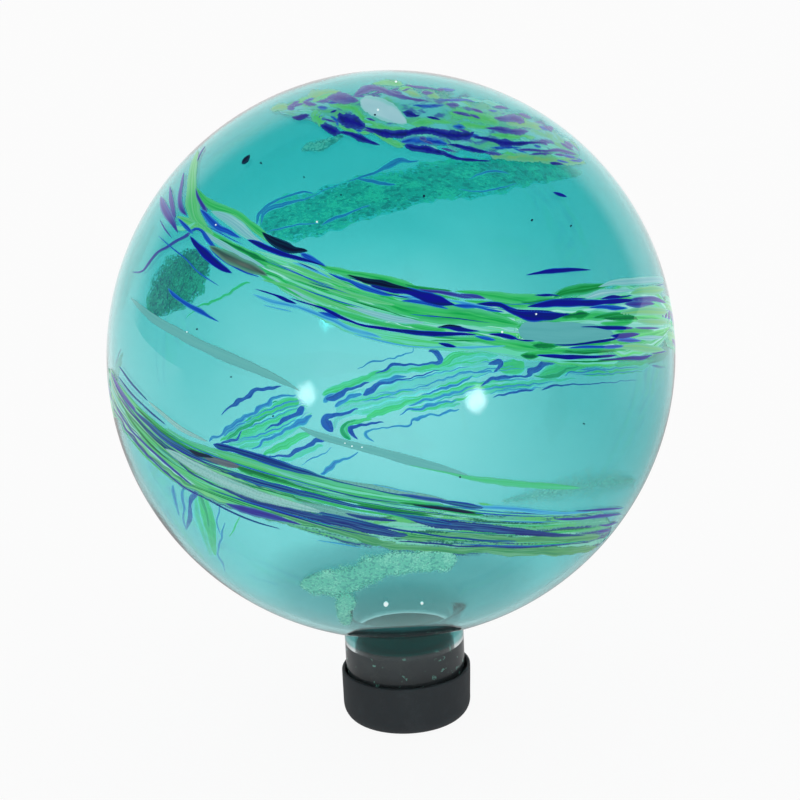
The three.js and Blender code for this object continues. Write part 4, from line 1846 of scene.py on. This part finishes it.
def lower_swirl() -> Iterator[Swirl]:
    """Lists the trails of the band that winds down across the lower front."""
    yield Swirl(
        "lower_fan_veil",
        VeilGlass(
            "lower_fan_veil_glass", "green_glass", srgb(96, 200, 178),
            (
                Thread(srgb(110, 205, 140), 0.5, 7, 6.0), Thread(srgb(60, 165, 100), 0.3, 11, 6.0),
                Thread(srgb(150, 215, 210), 0.22, 13, 8.0), Thread(srgb(60, 70, 140), 0.2, 14, 8.0),
                Thread(srgb(20, 95, 90), 0.1, 17, 6.0),
            ),
            opacity=0.95, soft_edge=0.25,
        ),
        strokes("""
            108 368 6, 113 388 14, 122 405 22, 135 422 28, 152 440 34, 172 457 38, 195 472 40,
              220 484 40, 250 496 40, 285 508 36, 315 516 30, 345 523 18
        """),
        proud=0.01 * MM,
    )
    yield Swirl(
        "lower_mint_veil",
        VeilGlass(
            "lower_mint_veil_glass", "mint_glass", srgb(118, 218, 205),
            (
                Thread(srgb(86, 204, 156), 0.5, 5, 9.0), Thread(srgb(66, 188, 110), 0.25, 9, 8.0),
                Thread(srgb(30, 110, 175), 0.12, 12, 9.0),
            ),
            opacity=0.95, soft_edge=0.25, glow=0.22,
        ),
        strokes("""
            165 428 2, 190 443 5, 215 452 8, 245 461 13, 275 471 17, 305 480 19, 335 488 19,
              365 494 17, 395 500 13, 420 503 8, 445 506 3
        """),
        proud=0.016 * MM,
    )
    yield Swirl(
        "lower_grain_veil",
        VeilGlass(
            "lower_grain_veil_glass", "green_glass", srgb(92, 182, 158),
            (
                Thread(srgb(88, 188, 118), 0.5, 6, 5.0), Thread(srgb(120, 205, 185), 0.3, 9, 4.0),
                Thread(srgb(40, 80, 140), 0.2, 10, 6.0), Thread(srgb(30, 110, 90), 0.2, 12, 4.0),
            ),
            opacity=0.92, soft_edge=0.35, grain=0.28, grain_size=0.9 * MM,
        ),
        strokes("""
            285 522 6, 320 528 16, 360 530 34, 400 530 44, 440 531 50, 480 533 48, 520 534 46,
              560 532 44, 590 530 42, 612 526 32
        """),
        proud=0.022 * MM,
    )
    yield Swirl("lower_deep_green", DARK_GREEN, strokes("""
        134 406 1, 146 417 5, 156 426 6, 166 434 6, 178 443 5, 188 449 5, 198 453 5, 208 455 2
        234 465 2, 246 470 7, 258 474 8, 270 478 8, 284 482 6, 298 486 2
        356 505 1, 375 508 4, 392 511 5, 410 513 4, 432 516 1
        398 502 1, 420 505 4, 440 508 5, 455 510 6, 468 512 6, 484 515 2
    """), proud=0.042 * MM)
    yield Swirl("lower_green", BRIGHT_GREEN, strokes("""
        110 372 2, 120 390 6, 130 403 7, 142 416 6, 155 427 3
        140 436 1, 152 448 4, 165 459 4, 178 468 5, 190 477 6, 202 484 9, 215 491 10, 228 497 10,
          242 502 8, 256 507 7, 272 511 6, 290 516 3
        124 412 1, 134 424 4, 146 437 4, 160 449 2
        214 452 1, 230 459 5, 248 465 7, 266 471 6, 284 477 4, 300 482 1
        478 503 0.8, 486 505 3, 497 507 0.8
        1.4: 126 434, 145 456, 165 474, 188 490
    """), stands_for=("lower_green_trail",), proud=0.028 * MM)
    yield Swirl("lower_grainy_green", GRAINY_GREEN, strokes("""
        270 511 2, 285 515 6, 300 519 7, 315 523 7, 330 527 8, 345 531 9, 362 537 9, 380 543 8,
          400 547 6
        400 537 3, 420 538 6, 440 537 7, 460 535 7, 480 537 7, 500 539 8, 520 540 8, 540 539 8,
          560 539 8, 580 538 8, 600 536 4
        380 545 3, 400 547 6, 420 548 7, 440 549 7, 460 551 7, 480 549 6, 500 551 8, 520 552 8,
          545 551 9, 565 551 9, 585 549 6, 598 546 2
    """), proud=0.036 * MM, uneven=0.3)
    yield Swirl("lower_mint", MINT, strokes("""
        2.2: 300 478, 340 489, 380 497, 412 501
        1.6: 330 486, 370 494, 405 499, 440 503
        2.2: 210 463, 225 468, 240 473
        2.0: 440 505, 480 511, 520 514, 556 516
    """), proud=0.048 * MM)
    yield Swirl(
        "lower_milky",
        TrailGlass(
            "lower_milky_glass", "pale_glass", srgb(148, 200, 198), srgb(122, 186, 182),
            streak_length=5.0, soft_edge=0.35, grain=0.2,
        ),
        strokes("""
            165 448 1, 175 454 7, 186 461 10, 200 469 12, 215 477 13, 230 484 13, 245 490 13,
              260 496 12, 275 500 11, 290 504 9, 305 508 7, 322 512 3
            148 401 1, 158 410 3, 170 420 4, 182 429 5, 195 436 4, 208 442 1
        """),
        stands_for=("lower_pale_trail",), proud=0.15 * MM, uneven=0.06,
    )
    yield Swirl(
        "lower_grey_mint",
        TrailGlass(
            "lower_grey_mint_glass", "pale_glass", srgb(96, 166, 160), srgb(112, 180, 174),
            streak_length=5.0, grain=0.35,
        ),
        strokes("""
            300 503 3, 320 508 8, 340 513 8, 362 517 6, 385 520 4
            325 477 1, 345 482 3, 365 486 5, 385 489 6, 405 493 5, 425 496 4, 447 500 1
        """),
        proud=0.07 * MM,
    )
    yield Swirl(
        "lower_grey",
        TrailGlass(
            "slate_glass", "dark_glass", srgb(84, 98, 112), srgb(100, 116, 124), soft_edge=0.5,
        ),
        strokes("""
            202 455 2, 212 459 7, 222 462 8, 232 465 7, 241 467 2
        """),
        proud=0.158 * MM,
    )
    yield Swirl("lower_purple", PURPLE, strokes("""
        111 372 1, 118 387 4, 126 399 4, 136 411 3
        116 406 1, 130 428 1.6, 142 441 2, 155 453 2.4, 168 465 2.4, 180 475 2, 193 486 0.8
        1.4: 122 424, 140 447, 158 465, 175 480, 192 492, 210 500
        225 503 1, 240 508 7, 255 512 8, 270 516 7, 285 520 4, 302 525 1
        398 494 1, 412 496 3.5, 430 499 4, 446 501 3
        554 519 1, 570 519 3, 585 518 3, 600 516 4, 612 515 2.5, 622 514 0.8
        2: 575 511, 595 510, 610 509, 624 508
        2.4: 598 525, 608 525, 618 522
        3.4: 596 532, 603 531, 611 530
        1.2: 112 398, 122 417, 136 435, 150 449
    """), proud=0.094 * MM)
    yield Swirl("lower_blue", GRAINY_NAVY, strokes("""
        178 461 0.8, 190 472 1.6, 203 479 1.6, 216 486 1.4, 230 491 3, 245 497 5, 260 502 6,
          275 506 6, 290 510 6, 305 514 6, 320 518 8, 335 521 9, 350 524 9, 365 528 9, 380 531 9,
          395 534 6, 408 535 2
        405 517 2, 425 521 8, 445 524 9, 465 526 9, 485 528 9, 505 530 8, 525 532 7, 545 534 5,
          565 535 3, 585 535 0.8
        345 513 1, 362 517 4, 380 519 4, 398 521 1
        398 541 0.8, 430 543 1.6, 460 546 1.6, 490 546 2.4, 520 547 3, 548 546 1, 590 542 0.6
    """), stands_for=("lower_blue_trail",), proud=0.106 * MM)
    yield Swirl("lower_navy", STREAKY_NAVY, strokes("""
        132 408 1, 140 416 3, 150 425 4, 160 434 5, 171 442 5, 182 449 5, 193 455 4, 206 460 2,
          220 465 0.8
        213 444 2, 222 447 7, 232 449 6, 245 453 6, 258 457 7, 272 462 8, 285 466 8, 298 470 6,
          310 473 4, 322 477 2, 345 483 1.2, 372 489 1, 395 494 1.4, 410 496 2, 430 499 2,
          446 502 3, 458 504 5, 470 506 5, 484 508 2
        227 472 0.8, 240 476 4, 255 481 6, 270 485 6, 285 489 6, 300 493 6, 315 496 5, 330 500 4,
          345 504 3, 360 507 2.4, 380 511 2, 400 515 3, 415 518 5, 432 521 5, 452 524 2
        300 508 0.8, 320 513 2, 340 517 3, 360 521 3, 380 526 2.4, 400 530 2, 420 533 1.6,
          440 536 1.6, 460 538 1.6, 480 540 2, 500 541 2, 517 541 0.8
        1.5: 119 366, 128 379, 138 391, 148 401
        1.3: 118 376, 130 392, 142 404, 155 416, 166 425
        1.1: 315 486, 340 493, 370 499, 400 503
        1.2: 200 495, 225 509, 250 520, 280 529
        1.3: 160 443, 185 461, 210 474
    """), stands_for=("lower_navy_trail",), proud=0.126 * MM)
    for name, finish, count, length, width, seed, height in (
        ("lower_navy_threads", NAVY, 9, (60, 220), (0.5, 1.4), 61, 0.139),
        ("lower_blue_threads", BLUE, 8, (60, 200), (0.5, 1.4), 62, 0.113),
        ("lower_green_threads", LEAF_GREEN, 16, (60, 220), (0.8, 2.6), 63, 0.054),
        ("lower_mint_threads", MINT, 12, (60, 220), (0.5, 1.6), 64, 0.075),
        ("lower_dark_threads", DARK_GREEN, 12, (50, 180), (0.6, 2.4), 65, 0.064),
    ):
        marks = threads(LOWER_BED, count, length, width, seed)
        yield Swirl(name, finish, marks, proud=height * MM, step_up=0.0003 * MM)
    yield Swirl("lower_sky_blue", PALE_BLUE, strokes("""
        466 505 1, 485 507 4, 505 508 5, 525 510 5, 545 512 4, 565 513 3, 590 512 1
        1.2: 372 484, 395 489, 418 494
        1.0: 316 540, 340 544, 362 548
        1.0: 205 441, 190 434, 176 425
    """), proud=0.121 * MM)
    yield Swirl("lower_black", BLACK, strokes("""
        188 449 1, 198 454 5, 208 456 3, 214 458 1
        3.4: 412 504.5, 440 508, 462 511, 476 513
    """), proud=0.166 * MM)


BACK_ARMS = strokes("""
    222 442 10, 245 434 26, 270 425 34, 296 414 30, 310 408 14
    336 402 10, 360 392 26, 390 384 34, 425 378 38, 460 370 34, 500 364 24, 540 362 14
    400 412 8, 440 402 18, 480 390 16, 520 386 12, 560 382 8
    540 372 8, 580 368 14, 620 368 14, 660 366 10
""")


def side_swirl() -> Iterator[Swirl]:
    """Lists the ends of the bands that run on round the sides, where the camera sees no more."""
    wall = {
        "side": Side.ROUND, "spacing": 0.9, "wobble": 0.12, "wobble_length": 8.0, "fade": 1.5,
        "longest_cap": 3.0, "step_up": 0.0002 * MM, "thickness": FAR_THICKNESS,
    }
    yield Swirl("side_mint", MINT, strokes("""
        70 9.5 9, 80 5.5 9, 90 1 8, 100 -4 6.5, 110 -9 4.5, 118 -12.5 2
        76 12 3, 88 7.5 3.4, 100 1.5 3, 110 -4 1.8, 117 -7.5 0.6
        -76 -4.5 7, -84 -2.5 6, -92 -1 3.5, -99 0.5 0.8
    """), proud=0.004 * MM, **wall)
    yield Swirl("side_milky", MILKY, strokes("""
        80 4.8 0.8, 88 1.6 2, 96 -2.2 2, 104 -6 0.8
        82 10.2 0.5, 91 6.6 1.2, 100 2.4 0.5
    """), proud=0.005 * MM, **wall)
    yield Swirl("side_green", BRIGHT_GREEN, strokes("""
        72 6.5 2, 82 2.5 2.6, 92 -2 2.6, 102 -6.8 2, 112 -11 1, 118 -13 0.4
        74 12.2 1.6, 84 8.4 2.4, 94 3.6 2.4, 104 -1.6 1.6, 113 -6.5 0.5
        86 3.6 1, 96 -1 1.8, 106 -6 1.6, 116 -10.6 0.5
        -76 -6 2, -84 -4 2, -92 -2.4 1.2, -98 -1 0.3
    """), proud=0.0056 * MM, **wall)
    yield Swirl("side_navy", NAVY, strokes("""
        70 11.4 1.4, 80 8.2 2, 89 4.4 1.6, 97 0.6 0.5
        76 4.2 0.8, 84 0.8 1.6, 92 -3 1.6, 100 -6.6 1.1, 107 -9.6 0.4
        84 8.6 0.4, 92 5.2 1.1, 100 1 1.1, 107 -2.8 0.4
        -76 -2.5 1.6, -84 -0.5 1.8, -92 1 1, -97 2 0.3
        0.5: 90 -0.5, 100 -5, 110 -9.4, 121 -13.6
        0.5: 96 4.6, 106 -0.6, 116 -6, 124 -10
    """), proud=0.0066 * MM, **wall)


def back_swirl() -> Iterator[Swirl]:
    """Lists the wavy trails that show through the ball, on its far wall."""
    wall = {
        "side": Side.BACK, "spacing": 1.8, "thickness": FAR_THICKNESS, "fade": 2.0, "wobble": 0.5,
        "comb": 0.9,
    }
    yield Swirl("back_mint", MINT_BEHIND, strokes("""
        226 446 4, 240 441 12, 256 434 18, 274 425 19, 290 416 13, 304 409 5
        190 492 2, 194 504 10, 196 518 14, 200 532 12, 203 548 8, 206 562 2
        236 449 4, 252 447 8, 268 442 8, 284 434 7, 300 426 3
        276 463 3, 292 458 7, 308 451 6, 322 446 3
        352 384 4, 372 377 9, 396 370 9, 420 368 8, 444 366 12, 462 360 14, 480 356 12, 500 354 6
        352 414 3, 372 411 8, 394 405 10, 418 401 8, 444 396 8, 470 389 7, 490 388 4
        484 394 4, 505 389 9, 530 385 9, 556 381 5, 580 379 1
        404 412 2, 424 408 5, 448 407 5, 462 405 2
        590 372 4, 610 370 8, 635 368 8, 655 366 3
    """), proud=0.02 * MM, **wall)
    yield Swirl("back_milky", MILKY_BEHIND, strokes("""
        335 412 8, 352 403 14, 374 398 16, 398 390 18, 424 384 18, 450 378 14, 476 372 12,
          498 368 6
        333 430 3, 335 422 5, 346 416 4, 362 413 2
        462 366 8, 478 363 14, 492 362 10
        360 392 2, 376 386 2, 392 381 1
        3: 232 433, 246 424, 258 414, 270 407
        2.4: 338 401, 352 392, 366 388
        520 368 3, 528 366 8, 540 364 6, 546 362 1
    """), proud=0.035 * MM, **wall)
    yield Swirl("back_green", GREEN_BEHIND, strokes("""
        217 442 2, 228 437 6, 241 428 8, 254 419 8, 267 413 9, 281 406 12, 298 402 10
        260 456 3, 274 450 8, 288 443 9, 300 437 7, 311 433 2
        321 395 4, 334 390 8, 347 385 8, 360 379 6, 375 373 4, 392 369 2
        406 369 1, 424 367 5, 442 364 8, 452 357 8, 470 353 4, 490 352 1
        366 419 3, 376 414 8, 390 410 7, 404 405 5, 420 399 3, 436 395 1
        372 420 2, 358 422 5, 346 426 6, 344 434 7, 350 441 3
        500 370 6, 508 368 16, 518 367 18, 526 362 8
        541 377 4, 552 373 12, 566 368 15, 582 364 10, 600 363 6, 622 365 6, 648 363 4, 660 361 1
        195 494 4, 199 504 12, 202 515 14, 205 527 13, 207 540 11, 209 552 8, 211 562 2
        249 281 1, 240 283 3, 232 288 3, 226 293 3, 216 297 3, 205 302 3, 194 306 1.4, 182 318 0.6
        2: 238 519, 232 530, 226 541
        2: 404 405, 424 398, 444 393, 462 387
    """), stands_for=("back_green_trail",), proud=0.05 * MM, **wall)
    yield Swirl("back_deep_green", DEEP_BEHIND, strokes("""
        224 442 2, 231 436 4, 239 431 4, 246 427 4, 253 423 3, 262 419 2, 270 414 1
        244 423 1, 250 416 3, 260 410 3, 268 405 2, 276 401 1
        351 441 2, 345 436 5, 342 430 5, 347 424 3, 356 421 1
        536 376 1, 550 378 4, 562 374 5, 572 369 3, 584 366 1
        196 497 2, 199 505 4, 203 517 3, 204 531 2
    """), proud=0.06 * MM, **wall)
    yield Swirl("back_blue", BLUE_BEHIND, strokes("""
        205 443 1, 210 439 3, 219 437 2, 224 430 4, 232 425 4, 240 421 4, 244 417 4, 252 415 3,
          256 410 5, 262 407 3, 267 404 5, 270 400 3, 280 397 2.4, 295 396 1
        221 438 1.4, 227 431 4, 234 427 3, 244 424 1
        249 451 1, 256 448 2, 262 441 3, 270 439 3, 278 434 3, 284 430 3, 292 427 4, 297 423 7,
          304 421 6, 310 415 2
        322 403 4, 326 399 6, 334 398 7, 338 400 3
        334 408 2, 338 404 4, 345 400 3, 352 396 4, 362 394 2
        357 369 0.6, 366 364 1.2, 374 361 1.6, 385 359 1.2, 394 358 1.4, 398 355 1.6, 411 352 1,
          412 346 0.6
        374 385 1, 384 380 3, 392 378 4, 398 377 3, 407 376 0.6
        374 444 0.6, 368 439 2.4, 366 434 3, 372 431 1.6, 385 429 1.2, 400 428 1.6, 411 426 2,
          413 422 2, 418 421 4, 422 418 3, 430 416 2, 440 416 2, 450 413 2.4, 461 411 0.8
        399 416 0.6, 407 411 2, 420 410 2.4, 427 407 4, 440 404 2.4, 450 403 2, 459 401 0.8
        409 408 0.8, 415 405 2, 422 401 2.4, 438 399 2.4, 448 396 3, 460 392 2.4, 477 387 1
        421 396 0.8, 435 392 2, 448 388 3, 460 384 2.4, 470 380 2, 475 376 0.6
        383 399 0.6, 400 391 1, 420 387 1, 440 381 1.2, 452 377 1.6, 460 374 1.6, 478 372 1.6,
          494 372 1.6
        568 377 0.6, 575 372 1.6, 585 372 1.2, 595 370 1.6, 605 369 1.6, 614 372 0.6
        1.2: 299 467, 312 459, 322 456, 331 448
        319 476 1, 324 474 4, 329 470 5, 335 464 4, 343 461 2.4, 352 459 2, 359 454 0.8
        168 487 1, 169 494 3, 171 504 3.4, 172 514 2, 172 521 1
        181 488 1, 177 496 3, 177 503 3, 179 512 2.2, 178 525 2.2, 181 536 1
        1.8: 222 525, 219 538, 215 549, 213 560, 218 570, 220 578
        1.4: 214 502, 216 514, 214 528, 217 540
        1.2: 491 395, 505 391, 520 388
    """), proud=0.07 * MM, widen=1.25, **wall)
    yield Swirl("back_navy", NAVY_BEHIND, strokes("""
        219 417 0.6, 223 411 1.6, 230 408 2.6, 234 405 5, 237 401 5, 243 400 3, 247 397 5,
          252 392 4, 259 390 3.4, 270 389 3.4, 280 387 0.8
        217 445 1.4, 228 442 3.4, 235 440 2.4, 241 432 0.8
        262 432 0.6, 270 427 2, 278 424 3, 282 420 5, 288 418 4, 295 415 4, 298 412 7, 303 408 5
        264 459 0.8, 275 457 2, 283 458 3, 290 455 4, 295 451 5, 302 449 3, 309 445 5, 315 442 5,
          324 442 0.8
        324 399 2, 332 399 6, 340 394 6, 346 390 4, 355 387 3, 362 384 3, 369 381 0.8
        362 395 1, 368 392 6, 374 388 6, 380 384 4, 388 382 3, 400 380 1.8, 412 377 1.2,
          425 374 1.6, 432 372 1.2, 441 370 0.6
        375 374 0.6, 383 370 2, 390 366 3, 396 364 3, 410 364 1.8, 425 364 2, 434 363 3, 441 361 6,
          439 355 6, 435 351 6, 428 350.5 1
        332 433 3, 327 428 9, 323 422 9, 326 417 6, 334 416 4, 342 415 3, 350 412 2.4, 358 409 1
        358 441 0.8, 353 436 3.4, 350 430 5, 354 428 3.4, 364 426 2.6, 372 424 2.6, 384 423 0.8
        495 372 1.4, 500 369 3, 503 364 5, 500 361 6, 494 363 4, 489 364 0.8
        481 387 0.8, 490 381 3.4, 498 379 4, 510 378 3, 525 377 2, 533 375 5, 532 371 6, 540 369 6,
          547 364 6, 556 362 3, 564 362 0.8
        494 398.5 0.8, 505 396 2, 515 394 2.4, 525 392 2.4, 538 390 0.8
        543 391 0.6, 552 388 2.4, 560 386 1.8, 575 385 1.4, 600 383 1, 642 381 0.5
        303 489 1, 310 487 5, 313 481 7, 314 477 2
        265 464 2, 267 468 6, 268 473 2
        272 466 1, 274 470 3.4, 273 475 2
        195 490 2, 190 497 5, 187 502 5, 185 508 3, 185 518 5, 183 528 4, 181 535 1
        2.4: 657 366, 664 367, 673 368
    """), stands_for=("back_navy_trail",), proud=0.09 * MM, widen=1.15, **wall)
    yield Swirl(
        "back_threads", BLUE_BEHIND, threads(BACK_ARMS, 9, (30, 90), (0.7, 1.8), 31),
        proud=0.06 * MM, **wall,
    )
    yield Swirl(
        "back_green_threads", GREEN_BEHIND, threads(BACK_ARMS, 9, (30, 90), (1.0, 3.4), 32),
        proud=0.045 * MM, **wall,
    )
    yield Swirl(
        "back_contours", BLUE_BEHIND,
        strokes("""
            255 224 1, 256 214 3, 262 207 3, 272 200 2.4, 286 194 2, 302 190 2, 314 192 1
            259 223 1, 261 213 3, 268 207 4, 280 203 4, 292 200 3, 308 196 1.4, 322 189 1,
              340 182 0.8
            345 180 0.6, 362 174 2, 378 168 3, 392 160 6, 402 157 5, 412 158 2, 420 157 0.8
            354 176 0.8, 368 178 3, 382 181 3.4, 396 182 0.8
            320 224 0.6, 332 217 3, 348 211 2, 370 203 1
            1.6: 262 232, 280 227, 300 223, 318 222
            2: 470 176, 484 170, 500 168, 512 171
            1.6: 460 186, 480 189, 500 186, 520 180
        """),
        side=Side.BACK, proud=0.1 * MM, thickness=FAR_THICKNESS, wobble=1.0, wobble_length=7.0,
        fade=3.0, widen=1.3,
    )


LOWER_GRAIN_BED = strokes("""
    300 524 8, 350 532 22, 400 534 34, 450 536 36, 500 538 36, 550 538 34, 590 534 24
""")
SPECKLED_BAND = strokes("""
    258 226 14, 272 220 36, 292 216 46, 315 212 46, 340 203 44, 365 195 44, 390 190 42, 412 184 40,
      435 178 40, 460 176 42, 485 174 42, 510 170 38, 535 167 30, 560 167 20, 588 168 6
""")
SPECKLED_PATCH = strokes("""
    206 248 10, 196 258 34, 184 270 50, 172 283 54, 160 296 44, 150 308 26, 144 316 8
""")
MINT_PATCH = strokes("""
    299 586 8, 308 584 24, 322 583 32, 340 582 36, 358 576 36, 375 569 34, 395 564 30, 420 562 28,
      445 560 26, 458 559 16
    350 592 24, 345 604 24, 343 612 18, 346 619 15, 350 626 8
""")
MINT_HAZE = strokes("""
    500 502 6, 522 498 18, 546 493 30, 572 488 40, 598 484 44, 620 482 34, 638 480 10
""")
MINT_SMALL = strokes("""
    301 151 3, 309 147 11, 320 146 14, 332 141 10, 345 134 3
""")


def grain_beds() -> Iterator[Swirl]:
    """Lists the beds of fine grains."""
    yield Swirl(
        "speckled_band", SHADED_GRAINS_BEHIND, SPECKLED_BAND, stands_for=("back_speckled_trail",),
        side=Side.BACK, proud=0.01 * MM, thickness=FAR_THICKNESS,
    )
    yield Swirl(
        "speckled_patch",
        # Its glow is painted backlight, as on the far wall's other glasses.
        GrainGlass(
            "deep_speckled_grains", "dark_glass", srgb(36, 142, 128), srgb(80, 184, 150),
            srgb(18, 84, 110), edge=(0.33, 0.75, 0.76, 1.0), far=True, glow=0.75, soft_edge=0.14,
            raggedness=1.5,
        ),
        SPECKLED_PATCH, stands_for=("left_speckled_trail",), side=Side.BACK, proud=0.01 * MM,
        thickness=FAR_THICKNESS,
    )
    yield Swirl("mint_grain_patch", MINT_GRAINS, MINT_PATCH, stands_for=("mint_patch",))
    yield Swirl(
        "mint_grain_haze",
        GrainGlass(
            "mint_haze_grains", "mint_glass", srgb(112, 212, 202), srgb(126, 220, 206),
            srgb(100, 202, 194), soft_edge=1.6, grain_size=0.9 * MM, dark_share=0.4,
        ),
        MINT_HAZE,
    )
    yield Swirl(
        "crown_grain_patch",
        GrainGlass(
            "crown_grains", "mint_glass", srgb(40, 182, 172), srgb(70, 205, 190),
            srgb(10, 145, 140), soft_edge=0.6,
        ),
        MINT_SMALL,
    )
    yield Swirl(
        "dark_seeds", BLACK,
        seeds(
            "261 163 1.8, 341 195 1.4, 424 196 2.4, 532 220 2.2, 571 226 1.8, 584 424 1.6, "
            "460 477 2.0, 375 115 2.2, 231 377 1.6, 273 416 1.8, 197 329 1.6, 304 177 1.4"
        ),
        proud=0.16 * MM,
    )
    # Painted highlights: small white dots of glass that glow, where glints of the lamps show on the
    # glass and on its inner walls; a few are white flecks in the glass.
    yield Swirl(
        "painted_glint_seeds",
        TrailGlass("painted_glint_glass", "pale_glass", srgb(225, 248, 248), srgb(235, 250, 250), glow=0.4),
        seeds(
            "386 604 5.0, 422 603 3.0, 378 110 2.4, 317 222 2.0, 502 332 2.4, 536 314 2.0, "
            "216 225 1.8, 396 82 2.4, 352 446 1.6, 362 447 1.6, 345 443 1.4, 187 332 1.4"
        ),
        proud=0.16 * MM,
    )


def loose_grains() -> list[Grains]:
    """Lists the scattered grains."""
    return [
        Grains("band_grains", MILKY_BEHIND, SPECKLED_BAND, 700, Side.BACK, seed=3),
        Grains("band_dark_grains", NAVY_BEHIND, SPECKLED_BAND + SPECKLED_PATCH, 420, Side.BACK,
               seed=4),
        Grains("mint_grains_loose", MINT, MINT_PATCH, 900, seed=5),
        Grains("band_mint_grains", MINT, LOWER_GRAIN_BED, 1100, seed=6, smallest=0.2 * MM,
               largest=0.5 * MM, lift=0.12 * MM),
        Grains("band_pale_grains", MILKY, LOWER_GRAIN_BED, 600, seed=7, smallest=0.2 * MM,
               largest=0.5 * MM, lift=0.12 * MM),
        Grains("band_blue_grains", BLUE, LOWER_GRAIN_BED, 500, seed=8, smallest=0.2 * MM,
               largest=0.5 * MM, lift=0.12 * MM),
    ]


def main() -> None:
    """Builds the camera, the ball, its swirls, the rubber pieces and the studio."""
    logging.basicConfig(level=logging.INFO, format="%(message)s")
    scene = bpy.context.scene
    scene.view_settings.view_transform = "Standard"
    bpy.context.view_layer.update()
    CAMERA.place()
    swirls = [
        *crown(), *upper_swirl(), *long_trails(), *lower_swirl(), *side_swirl(),
        *back_swirl(), *grain_beds(),
    ]
    for part in (Globe(), Plug(), Boot(), *swirls, *loose_grains()):
        piece = part.build()
        LOG.info("built %s: %d faces", piece.name, len(piece.data.polygons))
    Studio().build()


if __name__ == "__main__":
    main()
